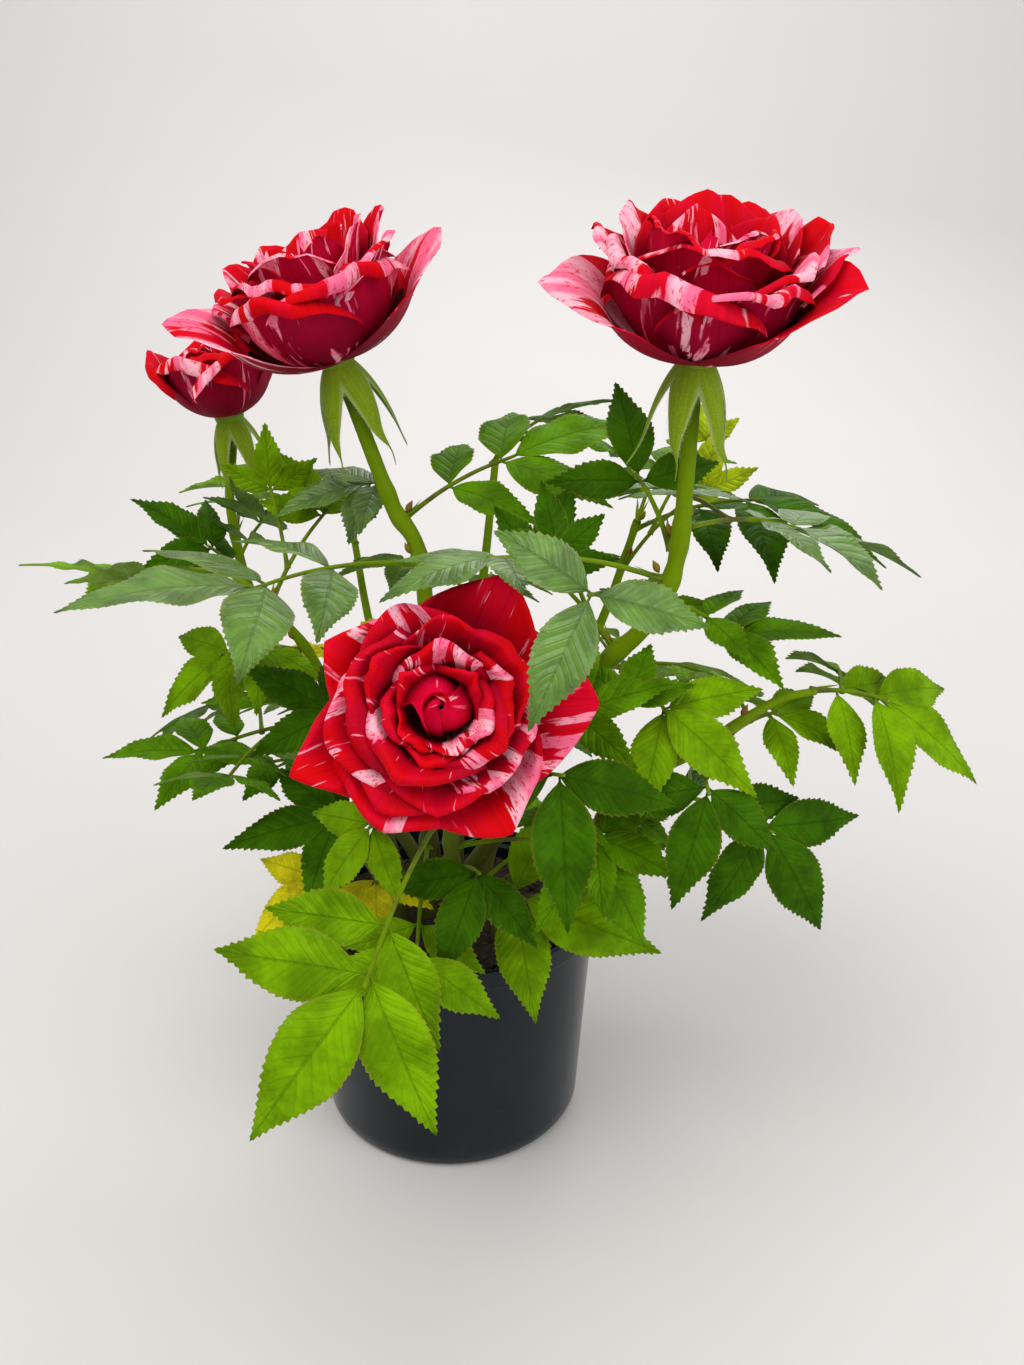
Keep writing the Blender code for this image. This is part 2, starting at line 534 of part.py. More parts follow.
def bloom_frame(bloom):
    """The bloom's foot on its cane, the cane's direction there, the disc's centre and its axes."""
    path, radii = cane_path(next(cane for cane in CANES if cane.name == bloom.cane))
    heading = unit(path[-1] - path[-2])
    foot = path[-1] + heading * GAP
    axis = unit(bloom.axis)
    origin = foot + (heading + axis) * HIP_LENGTH / 2
    right = unit(np.array([1.0, 0, 0]) - axis * axis[0])
    return foot, heading, origin, (axis, right, np.cross(axis, right)), radii[-1]


def make_bloom(bloom):
    foot, heading, origin, frame, stem_radius = bloom_frame(bloom)
    axis, right, ahead = frame
    hip_path = np.array([foot, foot + heading * HIP_LENGTH / 3, foot + heading * HIP_LENGTH / 2,
                         origin, origin + axis * RECEPTACLE_TOP])
    hip_radii = [stem_radius * share for share in HIP_SHARES] + [RECEPTACLE_RADIUS] * 2
    obj = mesh_object(bloom.name, *tube_mesh(hip_path, hip_radii, CANE_SIDES))
    pieces = []
    for guard in bloom.guards:
        pieces.append(petal_object("petal", petal_grid(
            origin, frame, *guard, GUARD_WRAP, PETAL_COLUMNS, PETAL_ROWS)))
    for index in range(SEPALS):
        turn = 2 * math.pi * (index + SEPAL_START) / SEPALS
        outward = right * math.cos(turn) + ahead * math.sin(turn)
        pieces.append(sepal_object(origin, outward, axis))
    pieces.append(crown_object(bloom, origin, frame))
    union(obj, pieces)
    paint(obj, "petal")
    return obj


def crown_object(bloom, origin, frame):
    """The close inner petals as one body: a cup, domed on top, lobed as its outer whorl is."""
    axis, right, ahead = frame
    bpy.ops.mesh.primitive_uv_sphere_add(segments=CROWN_SEGMENTS, ring_count=CROWN_RINGS, radius=1.0)
    crown = bpy.context.object
    for vertex in crown.data.vertices:
        x, y, z = vertex.co
        turn = math.atan2(y, x)
        lobe = 1 + CROWN_LOBE * math.cos(bloom.lobes * turn)
        level = (z + 1) / 2
        widen = bloom.crown_radius * lobe * (CROWN_WAIST + (1 - CROWN_WAIST) * level)
        height = RECEPTACLE_TOP / 2 + level * (bloom.tall - RECEPTACLE_TOP / 2)
        vertex.co = origin + right * x * widen + ahead * y * widen + axis * height
    return crown


def sepal_object(origin, outward, axis):
    """A narrow sepal that springs from under the petals and hangs back along the cane."""
    shares = np.array(SEPAL_STATIONS)
    angle = -np.radians(SEPAL_DIP + SEPAL_FALL * np.sqrt(shares))
    steps = np.diff(shares, prepend=0) * SEPAL_LENGTH
    out = RECEPTACLE_RADIUS * 0.6 + np.cumsum(np.cos(angle) * steps)
    down = np.cumsum(np.sin(angle) * steps)
    spine = origin + outward * out[:, None] + axis * down[:, None]
    ups = [unit(outward * math.sin(-a) + axis * math.cos(a)) for a in angle]
    left = np.cross(axis, outward)
    widths = [SEPAL_WIDTH * share for share in SEPAL_TAPER]
    thick = [SEPAL_THICKNESS] * len(widths)
    return mesh_object("sepal", *blade_mesh(spine, left, ups, widths, thick))


# ---------------------------------------------------------------- sprays
def leaf_width(share):
    """Half-width of a leaflet at a share of its length, 1 at the widest."""
    return np.sin(math.pi * share ** LEAF_SHOULDER)


def leaflet_mesh(root, forward, left, up, length, spare=0.0):
    """A leaflet that droops along its length; spare widens and thickens it, to test for room."""
    shares = np.array(BLADE_STATIONS)
    turn = LEAF_DROOP * shares
    spine = root + length * (forward * (np.sin(turn) / LEAF_DROOP)[:, None]
                             - up * ((1 - np.cos(turn)) / LEAF_DROOP)[:, None])
    ups = [unit(up * math.cos(a) + forward * math.sin(a)) for a in turn]
    spine[-1] += spare * unit(spine[-1] - spine[-2])
    widths = np.maximum(leaf_width(shares[:-1]) * LEAF_HALF_WIDTH * length, ROOT_WIDTH) + spare
    thick = np.array([ROOT_THICKNESS, BLADE_THICKNESS, BLADE_THICKNESS]) + 2 * spare
    return blade_mesh(spine, left, ups, widths, thick)


def stalk_path(foot, forward, length):
    """A stalk that bows up a little between its foot and its end."""
    share = np.linspace(0, 1, TWIG_STEPS + 1)[:, None]
    _, _, up = axes(forward, UPWARD)
    return foot + forward * length * share + up * length * TWIG_BOW * 4 * share * (1 - share)


def spray_foot(spray, forward):
    """Where a spray's stalk starts, clear of its cane's skin."""
    cane = next(cane for cane in CANES if cane.name == spray.cane)
    path, radii = cane_path(cane)
    if spray.height >= 1:
        tangent = unit(path[-1] - path[-2])
        lean = np.linalg.norm(np.cross(forward, tangent))
        return path[-1] + tangent * (JOIN_GAP + TWIG_RADIUS * lean)
    index = int(np.searchsorted(path[:, 2], spray.height))
    share = (spray.height - path[index - 1][2]) / (path[index][2] - path[index - 1][2])
    centre = path[index - 1] + (path[index] - path[index - 1]) * share
    tangent = unit(path[index] - path[index - 1])
    outward = unit(forward - tangent * np.dot(forward, tangent))
    lean = abs(np.dot(forward, tangent))
    return centre + outward * (radii[index - 1] + JOIN_GAP + TWIG_RADIUS * lean)


def leaf_plan(foot, azimuth, elevation, spray, scale):
    """Stalk path and leaflets of one compound leaf: (root, forward, left, up, length) for each."""
    forward = direction(azimuth, elevation)
    path = stalk_path(foot, forward, spray.stalk * scale)
    lean = math.radians(spray.lean)
    facing = np.array([0.0, -math.sin(lean), math.cos(lean)])
    ahead, left, up = axes(direction(azimuth + spray.turn, elevation + spray.dip), facing)
    leaflets = [(path[-1] - unit(path[-1] - path[-2]) * ROOT_DEPTH, ahead, left, up,
                 spray.leaflet * scale)]
    spread = math.radians(spray.spread)
    length = np.linalg.norm(path[-1] - path[0])
    for pair in range((spray.count - 1) // 2):
        back = (PAIR_START + PAIR_STEP * pair) * spray.leaflet * scale
        share = max(1 - back / length, PAIR_LOWEST)
        root = np.array([np.interp(share * TWIG_STEPS, range(TWIG_STEPS + 1), path[:, k])
                         for k in range(3)])
        size = spray.leaflet * scale * SIDE_LEAFLET * SIDE_SHRINK ** pair
        for side in (1, -1):
            out = unit(ahead * math.cos(spread) + side * left * math.sin(spread))
            leaflets.append((root, out, np.cross(up, out), up, size))
    return path, leaflets


def turned_leaflet(leaflet, pitch, yaw):
    """The leaflet with its blade lifted by pitch and swung by yaw, in degrees."""
    root, forward, left, up, length = leaflet
    p, y = math.radians(pitch), math.radians(yaw)
    swung = forward * math.cos(y) + left * math.sin(y)
    raised = swung * math.cos(p) + up * math.sin(p)
    ahead, left, up = axes(unit(raised), up)
    return root, ahead, left, up, length


def fitted(leaflet, obstacles):
    """The leaflet, turned and if need be shortened until it has room, or None."""
    for scale in LEAF_SIZES:
        for pitch, yaw in FIT_TURNS:
            root, forward, left, up, length = turned_leaflet(leaflet, pitch, yaw)
            shape = leaflet_mesh(root, forward, left, up, length * scale, LEAF_CLEARANCE)
            if not touches(shape, obstacles):
                return leaflet_mesh(root, forward, left, up, length * scale)
    return None


def stalk_shape(path, radii, spare=0.0):
    return tube_mesh(path, radii + spare, TWIG_SIDES)


def settled(spray, trees):
    """The spray's azimuth, elevation, stalk and leaflets, swung a little if its stalk needs room."""
    others = [tree for name, tree in trees.items() if name != spray.cane]
    for rise, swing in STALK_TURNS:
        azimuth, elevation = spray.azimuth + swing, spray.elevation + rise
        foot = spray_foot(spray, direction(azimuth, elevation))
        path, leaflets = leaf_plan(foot, azimuth, elevation, spray, 1.0)
        radii = np.linspace(TWIG_RADIUS, TWIG_TIP_RADIUS, len(path))
        if not touches(stalk_shape(path, radii, LEAF_CLEARANCE), others):
            return azimuth, elevation, path, radii, leaflets
    raise ValueError(f"{spray.name} has no room for its stalk")


def make_spray(spray, trees):
    """One solid of a spray's stalks and leaflets, kept clear of the trees of all that is in place."""
    obstacles = list(trees.values())
    azimuth, elevation, path, radii, leaflets = settled(spray, trees)
    obj = mesh_object(spray.name, *stalk_shape(path, radii))
    pieces = []
    for index in range(spray.more):
        start = path[1] + (path[2] - path[1]) * index / 2
        swing = MORE_TURN if index % 2 == 0 else -MORE_TURN
        further, more = leaf_plan(start, azimuth + swing, elevation + MORE_RISE, spray, MORE_SCALE)
        if touches(stalk_shape(further, radii, LEAF_CLEARANCE), obstacles):
            continue
        pieces.append(mesh_object("stalk", *stalk_shape(further, radii * MORE_RADIUS)))
        leaflets += more
    for leaflet in leaflets:
        shape = fitted(leaflet, obstacles)
        if shape is not None:
            pieces.append(mesh_object("leaflet", *shape))
    union(obj, pieces)
    paint(obj, "leaf_yellow" if spray.name in YELLOW_SPRAYS else "leaf")
    return obj


# ---------------------------------------------------------------- the plant
def main():
    clear_scene()
    trees = {}
    for obj in (make_pot(), make_soil()):
        trees[obj.name] = tree_of(obj)
    for cane in CANES:
        trees[cane.name] = tree_of(make_cane(cane))
    for bloom in BLOOMS:
        trees[bloom.name] = tree_of(make_bloom(bloom))
    for spray in SPRAYS:
        trees[spray.name] = tree_of(make_spray(spray, trees))


main()
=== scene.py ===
"""A potted rose bush dressed for close views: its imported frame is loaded, and the pot, the potting
mix, the canes, the compound leaves and the striped blooms are made over it as fine surfaces.

Metres, +Z up; the front is -Y and the right +X. The canes, sprays and blooms grow by the rule of
the frame's own source, which is written again here, so each piece stays where its node is.
"""

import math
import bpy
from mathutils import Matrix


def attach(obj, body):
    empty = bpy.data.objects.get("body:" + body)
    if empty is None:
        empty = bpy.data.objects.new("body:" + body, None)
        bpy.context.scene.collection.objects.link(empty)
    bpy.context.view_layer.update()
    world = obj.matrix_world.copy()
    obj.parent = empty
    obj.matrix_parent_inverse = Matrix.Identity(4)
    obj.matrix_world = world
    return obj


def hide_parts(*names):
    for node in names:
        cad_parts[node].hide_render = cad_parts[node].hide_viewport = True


bl_info = {
    "name": "Potted rose bush",
    "version": (1, 0, 0),
    "blender": (4, 5, 0),
    "location": "3D View > Sidebar > Rose bush",
    "description": "Dresses the frame of a potted rose bush with bark, leaves, petals and soil",
    "category": "Add Mesh",
}

from collections import namedtuple

import bpy
import numpy as np
from bpy.props import FloatProperty, FloatVectorProperty, IntProperty, PointerProperty
from bpy.types import Operator, Panel, PropertyGroup
from mathutils import Matrix
from mathutils.bvhtree import BVHTree

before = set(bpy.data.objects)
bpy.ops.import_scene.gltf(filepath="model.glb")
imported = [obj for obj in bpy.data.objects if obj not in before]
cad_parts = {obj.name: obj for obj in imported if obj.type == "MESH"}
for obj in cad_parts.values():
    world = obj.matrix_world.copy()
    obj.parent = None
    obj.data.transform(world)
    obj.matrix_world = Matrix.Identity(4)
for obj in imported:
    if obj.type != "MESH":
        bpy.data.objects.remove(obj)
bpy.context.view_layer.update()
BODY = "root"

# ---- sizes shared with the frame
GAP = 0.0003
JOIN_GAP = 0.0004
POT_HEIGHT = 0.0825
POT_RIM_RADIUS = 0.0525
POT_BASE_RADIUS = 0.0458
POT_WALL = 0.0015
POT_FLOOR = 0.0025
POT_BAND_HEIGHT = 0.007
POT_BAND_STEP = 0.0009
POT_BAND_SLOPE = 0.001
POT_FOOT_ROUNDING = 0.004
DRAIN_HOLES = 5
DRAIN_HOLE_RADIUS = 0.0035
DRAIN_CIRCLE_RADIUS = 0.030
SOIL_TOP = 0.0742
SOIL_FLAT_RADIUS = 0.034
SOIL_EDGE_DROP = 0.003
SOIL_CLEARANCE = 0.0004
CANE_STEP = 0.018
NEARLY_UPRIGHT = 0.9
TWIG_RADIUS = 0.0010
TWIG_TIP_RADIUS = 0.0008
TWIG_STEPS = 3
TWIG_SIDES = 3
BLADE_THICKNESS = 0.0016
BLADE_STATIONS = (0.0, 0.26, 0.64, 1.0)
ROOT_WIDTH = 0.00035
ROOT_THICKNESS = 0.0005
ROOT_DEPTH = 0.002
LEAF_HALF_WIDTH = 0.235
LEAF_SHOULDER = 0.8
LEAF_SIZES = (1.0, 0.85, 0.7)
LEAF_DROOP = 0.45
PAIR_START = 0.10
PAIR_STEP = 0.38
PAIR_LOWEST = 0.25
SIDE_LEAFLET = 0.86
SIDE_SHRINK = 0.82
TWIG_BOW = 0.05
MORE_TURN = 75
MORE_RISE = 12
MORE_SCALE = 0.8
UPWARD = np.array([0.0, 0.0, 1.0])
FRONTWARD = np.array([0.0, -1.0, 0.0])
STALK_TURNS = ((0, 0), (6, 0), (-6, 0), (0, 6), (0, -6), (10, 10), (10, -10), (-10, 10), (-10, -10),
               (18, 0), (-18, 0), (0, 18), (0, -18), (0, 28), (0, -28), (24, 20), (24, -20))
FIT_TURNS = ((0, 0), (12, 0), (-12, 0), (24, 0), (-24, 0), (0, 14), (0, -14), (18, 14), (18, -14),
             (-18, 14), (-18, -14), (36, 0), (-36, 0), (0, 28), (0, -28), (48, 0), (-48, 0))
LEAF_CLEARANCE = 0.0007
RECEPTACLE_RADIUS = 0.0065
RECEPTACLE_TOP = 0.004
HIP_LENGTH = 0.010
PETAL_ROOT_RADIUS = 0.0025
PETAL_WIDEST = 0.65
PETAL_SHOULDER = 0.22
PETAL_KNEE = 0.55
PETAL_TAPER = 0.38
PETAL_CORNER = 2.5
PETAL_SAMPLES = 33
SEPALS = 5
SEPAL_LENGTH = 0.027
SEPAL_START = 0.3

# ---- sizes of the finer pieces
# Material slots: a thin skin's face and back, the petal faces at a bloom's heart and close round
# it, and a calyx's hip.
# The petal faces close round the heart (INNER) stay deep red much further out: painted shade of the
# hollow round the heart.
FACE, BACK, HEART, INNER = range(4)
HIP = 2

# Petals: cells across and along, which crowd towards the margins, and how far they wrap round the
# bloom's axis. A bowl of 1 makes a midline leave BOWL degrees lower and crest BOWL_CREST steeper.
GUARD_CELLS = (22, 24)
WHORL_CELLS = (18, 20)
FURL_CELLS = (24, 12)
SIDE_CROWDING = 1.25
END_CROWDING = 1.5
GUARD_WRAP = 0.35
WHORL_WRAP = 0.55
ROOT_WRAP = 0.95
BOWL = 44
BOWL_CREST = 20
INNER_BOWL = 0.4
FINE_CLAW = 0.52
PETAL_CUP = 0.10
PETAL_THICKNESS = 0.0004
GUARD_RUFFLE = 0.0010
INNER_RUFFLE = 0.065
INNER_POINT = (0.0, 0.20)

# Folded margins: radius and angle (radians) of the fold, the width that folds at an end and at
# the sides, and how much of it a petal gains first.
FOLD_RADIUS = 0.0012
LIP_TURN = (1.5, 2.5)
LIP_WIDTH = 0.011
LIP_SIDE = 0.55
END_SPARE = 0.75
SIDE_SPARE = 0.6

# Furled petals: radii as shares of the crown's, degrees round, the turn to the next, and how much
# lower that one ends and further it folds out.
FURLS = (0.27, 0.37, 0.48)
FURL_SWEEP = 250
FURL_TURN = 137
FURL_STEP = 0.06
FURL_LIP = 0.0022

# A guard longer than WING_LENGTH is a wing. Factors widen and lengthen a kind of guard, droop
# turns its end back further, side_fold of its half-width and end_fold at its end fold back, point
# is the range of its points, and lean lifts its rear side.
WING_LENGTH = 0.045
GuardKind = namedtuple("GuardKind", "widened lengthened droop side_fold end_fold point lean")
WING = GuardKind(1.45, 0.92, 8, 0.10, 0.0010, (0.20, 0.28), 0.45)
PLAIN_GUARD = GuardKind(1.0, 1.0, 0, 0.42, 0.0060, (0.16, 0.32), 0.12)

# A whorl's radius and height are shares of the crown's radius and the bloom's height; overlap is
# how far its petals reach past their share of the circle, and fall and lip are as a petal's below.
Whorl = namedtuple("Whorl", "radius height petals fall overlap lip")
WHORLS = (Whorl(1.02, 0.66, 5, 34, 1.30, 0.50), Whorl(0.84, 0.84, 5, 22, 1.35, 0.42),
          Whorl(0.64, 0.97, 5, 10, 1.30, 0.30), Whorl(0.46, 1.00, 4, 4, 1.30, 0.22))

# Sepals, with angles in degrees and the hairs along each margin, and the hip, whose profile gives
# shares of the receptacle's radius at shares of the way up.
SEPAL_CELLS = (6, 24)
SEPAL_REACH = 1.22
SEPAL_DIP = 34
SEPAL_FALL = 56
SEPAL_BEND = 0.4
SEPAL_SWING = 34
SEPAL_HALF_WIDTH = 0.0046
SEPAL_TAIL = 0.0004
SEPAL_HOLLOW = 0.45
SEPAL_SKIN = 0.0005
SEPAL_HAIRS = 60
HAIR_LENGTH = 0.0011
HAIR_RADIUS = 0.00005
HIP_PROFILE = ((0.0, 0.34), (0.25, 0.42), (0.5, 0.62), (0.72, 0.80), (0.86, 0.84), (1.0, 0.70))
HIP_STEP = 0.0005
HIP_SINK = 0.0015
SMALL_CROWN = 0.02
SMALL_CALYX = 0.88

# Leaflets: teeth, outline, bends (fold and twist in degrees), veins, and how much light glossy
# faces, other faces and backs mirror.
TOOTH_STEP = 0.0018
TOOTH_DEPTH = 0.00052
TOOTH_SHARE = 0.018
TOOTH_LEAN = 0.75
TOOTH_UNEVENNESS = (0.6, 1.3)
LEAF_COLUMNS = (-1.0, -0.5, 0.0, 0.5, 1.0)
LEAF_SLIMNESS = 0.86
LEAF_TIP_TAPER = 0.45
LEAF_SWEEP = 0.04
LEAF_FOLD = (4, 24)
LEAF_CURL = (0.06, 0.24)
LEAF_TWIST = (-9, 9)
LEAF_WAVES = (1.5, 3.0)
WAVE_HEIGHT = 0.018
LEAF_THICKNESS = 0.0004
MIDRIB_DEPTH = 0.0005
STALKLET = 0.05
VEIN_PAIRS = 8.0
VEIN_SWEEP = 1.6
SHEEN_GLOSS = 0.50
FACE_GLOSS = 0.03
BACK_GLOSS = 0.02

# Leaf stalks, the thinner ones that grow on along them, and stipules.
STALK_STEP = 0.0015
STALK_SIDES = 8
STALK_SINK = 0.0024
STALK_RADIUS = 0.00085
STALK_TIP_RADIUS = 0.00055
STALK_FLARE = 0.7
STALK_FLARE_LENGTH = 0.0022
FORK_SINK = 0.0003
FORK_RADIUS = STALK_RADIUS * 0.85
STIPULE_STEPS = 7
STIPULE_WIDTH = 0.0013
STIPULE_GAP = 0.0004
STIPULE_AWAY = 1.6
STIPULE_THICKNESS = 0.0003

# Canes: the flare at the foot, the swelling at each leaf, the ribs and knobs, and the buds.
CANE_SINK = 0.004
CANE_FINE_STEP = 0.0009
CANE_SIDES = 20
CANE_FLARE = 0.16
CANE_FLARE_LENGTH = 0.006
NODE_SWELLING = 0.20
NODE_LENGTH = 0.0028
CANE_RIBS = (2, 3, 5, 7)
RIB_DRIFT = 60
RIB_HEIGHT = 0.035
KNOB_HEIGHT = 0.010
BUD_LENGTH = 0.0042
BUD_RADIUS = 0.0012
BUD_ROWS = 9
BUD_SIDES = 8
BUD_LEAN = 0.55
BUD_SEAT = 0.75
BUD_RISE = 0.0022

# Pot and potting mix. Each layer of lumps has a height, a shortest and a longest wave.
POT_CORNER = 0.002
POT_BAND_ROUND = 0.0004
POT_BAND_EASE = 0.0006
SHARP_ANGLE = 50
DRAIN_HOLE_SIDES = 32
SOIL_RINGS = 44
SOIL_SIDES = 160
SOIL_MIDDLE = 0.0006
SOIL_LUMPS = ((0.0007, 0.004, 0.014), (0.0003, 0.0015, 0.004))
LUMP_WAVES = 40
CRUMB_SIZE = (0.0005, 0.0016)
FIBRE_STRETCH = 2.6

# Seeds of the random draws; canes and sprays count on from theirs.
SOIL_SEED = 5
CRUMB_SEED = 6
CANE_SEED = 100
SPRAY_SEED = 1000
BLOOM_SEEDS = (11, 12, 13, 14)

# ---- stage
CAMERA_PLACE = (0.022, -0.377, 0.300)
SENSOR_WIDTH = 36.0
AIR_STRENGTH = 0.52
BACKDROP_FRONT = -2.5
BACKDROP_BEND = 1.0
BACKDROP_CURVE = 1.2
BACKDROP_REACH = 4.0
# name, place, target, size, power in watts, colour
STUDIO_LIGHTS = (
    ("key", (-0.5, -0.7, 1.5), (0.0, 0.0, 0.15), 1.6, 18.5, (1.0, 0.985, 0.96)),
    ("fill", (1.1, -0.9, 0.7), (0.0, 0.0, 0.15), 1.2, 9.0, (0.97, 0.985, 1.0)),
    ("wall_wash", (0.0, 0.9, 2.0), (0.0, 2.3, 1.1), 1.6, 18.0, (0.99, 0.99, 1.0)),
    ("rim", (0.4, 1.3, 1.2), (0.0, 0.0, 0.2), 1.0, 6.0, (1.0, 1.0, 1.0)),
)

# ---- colours beside the settings
AIR = (1.0, 0.99, 0.975, 1.0)
DUST = (0.11, 0.10, 0.085)
FIBRE = (0.16, 0.105, 0.06)
BARK_CHIP = (0.115, 0.068, 0.035)
BARK_PORE = (0.25, 0.19, 0.10)
BUD_FLUSH = (0.30, 0.06, 0.03)
BUD_TIP = (0.22, 0.05, 0.03)
LEAF_EDGE = (0.30, 0.12, 0.03)
LEAF_BACK = (0.22, 0.34, 0.10)
PALE_RIB = (0.40, 0.52, 0.16)
PETAL_FOOT = (0.66, 0.50, 0.30)
SEPAL_LIME = (0.26, 0.36, 0.008)
SEPAL_DOWN = (0.55, 0.66, 0.36)
HIP_GREEN = (0.20, 0.36, 0.06)
HAIR_DARK = (0.62, 0.68, 0.46)
HAIR_LIGHT = (0.86, 0.86, 0.74)

# ---- canes
# Each cane leaves the soil upright and passes through its bends, in order, to its tip.
Cane = namedtuple("Cane", "name foot_radius tip_radius bends")
CANES = tuple(Cane("cane_" + name, *sizes) for name, *sizes in (
    ("left_tall", 0.0030, 0.0022,
     ((-0.008, -0.002), (-0.005, -0.010, 0.140), (-0.006, -0.015, 0.205), (-0.015, -0.012, 0.225),
      (-0.027, -0.009, 0.258))),
    ("right_tall", 0.0032, 0.0022,
     ((0.006, -0.008), (0.024, -0.028, 0.130), (0.046, -0.043, 0.179), (0.060, -0.048, 0.197),
      (0.068, -0.050, 0.217), (0.070, -0.052, 0.262))),
    ("rear_left", 0.0026, 0.0016,
     ((-0.014, 0.012), (-0.045, 0.034, 0.125), (-0.072, 0.052, 0.168), (-0.081, 0.058, 0.206),
      (-0.079, 0.060, 0.232))),
    ("front", 0.0028, 0.0020,
     ((0.002, -0.020), (0.003, -0.042, 0.125), (0.003, -0.056, 0.158), (0.003, -0.069, 0.175))),
    ("right_low", 0.0024, 0.0012,
     ((0.017, -0.016), (0.040, -0.045, 0.122), (0.058, -0.054, 0.150), (0.078, -0.048, 0.159),
      (0.100, -0.042, 0.171), (0.113, -0.040, 0.174))),
    ("left_low", 0.0024, 0.0013,
     ((-0.017, -0.006), (-0.028, -0.003, 0.125), (-0.042, 0.000, 0.166), (-0.056, 0.002, 0.186),
      (-0.070, 0.006, 0.198))),
    ("rear_low", 0.0024, 0.0013,
     ((-0.008, 0.024), (-0.022, 0.050, 0.125), (-0.034, 0.074, 0.160), (-0.040, 0.086, 0.190))),
    ("rear_right", 0.0026, 0.0013,
     ((0.014, 0.012), (0.036, 0.034, 0.130), (0.056, 0.050, 0.170), (0.068, 0.056, 0.205))),
    ("rear_centre", 0.0026, 0.0013,
     ((0.002, 0.014), (0.006, 0.034, 0.140), (0.012, 0.048, 0.190), (0.016, 0.054, 0.226))),
))

# ---- blooms
# A bloom sits on its cane's tip and looks along axis. Its furled heart ends at a share of its
# height, heart; the guards are its outermost petals, each at an azimuth about the axis. A guard
# leaves the bloom's base plane at rise, steepens to crest and ends at reflex, in degrees from that
# plane. blush says how much of it is pink, from 0 to 1.
Bloom = namedtuple("Bloom", "name cane axis tall crown_radius heart guards")
Guard = namedtuple("Guard", "azimuth rise crest reflex length half_width blush")
BLOOMS = tuple(Bloom(*sizes, [Guard(*row) for row in rows]) for *sizes, rows in (
    ("bloom_left", "cane_left_tall", (-0.26, -0.12, 0.96), 0.042, 0.028, 0.78,
     ((8, 36, 38, 30, 0.050, 0.0150, 0.8), (72, 40, 56, 24, 0.041, 0.0180, 0.3),
      (134, 34, 48, 8, 0.043, 0.0180, 0.5), (190, 30, 38, 12, 0.052, 0.0150, 0.9),
      (244, 36, 62, -24, 0.040, 0.0190, 0.8), (306, 38, 66, -20, 0.040, 0.0190, 0.7))),
    ("bloom_right", "cane_right_tall", (0.05, -0.20, 0.98), 0.041, 0.029, 0.80,
     ((184, 34, 34, -14, 0.049, 0.0160, 1.0), (240, 38, 58, -6, 0.041, 0.0190, 0.4),
      (294, 34, 60, -30, 0.042, 0.0190, 0.7), (346, 34, 46, 0, 0.048, 0.0180, 0.1),
      (46, 38, 54, 20, 0.042, 0.0180, 0.4), (114, 40, 56, 18, 0.041, 0.0180, 0.4))),
    ("bloom_rear", "cane_rear_left", (-0.16, -0.10, 0.98), 0.028, 0.0150, 0.95,
     ((182, 50, 62, 36, 0.036, 0.0130, 0.4), (250, 50, 68, 20, 0.034, 0.0150, 0.9),
      (312, 46, 60, 14, 0.035, 0.0150, 0.7), (24, 46, 60, 30, 0.034, 0.0140, 0.2),
      (100, 52, 66, 34, 0.034, 0.0150, 0.5))),
    ("bloom_front", "cane_front", (0.03, -0.90, 0.43), 0.028, 0.026, 1.04,
     ((64, 18, 28, -16, 0.039, 0.0165, 0.0), (2, 14, 28, -6, 0.040, 0.0170, 0.5),
      (300, 18, 34, -20, 0.037, 0.0170, 0.6), (246, 18, 36, -16, 0.035, 0.0170, 0.1),
      (204, 12, 28, -14, 0.041, 0.0130, 0.0), (150, 20, 40, -14, 0.035, 0.0170, 0.5))),
))

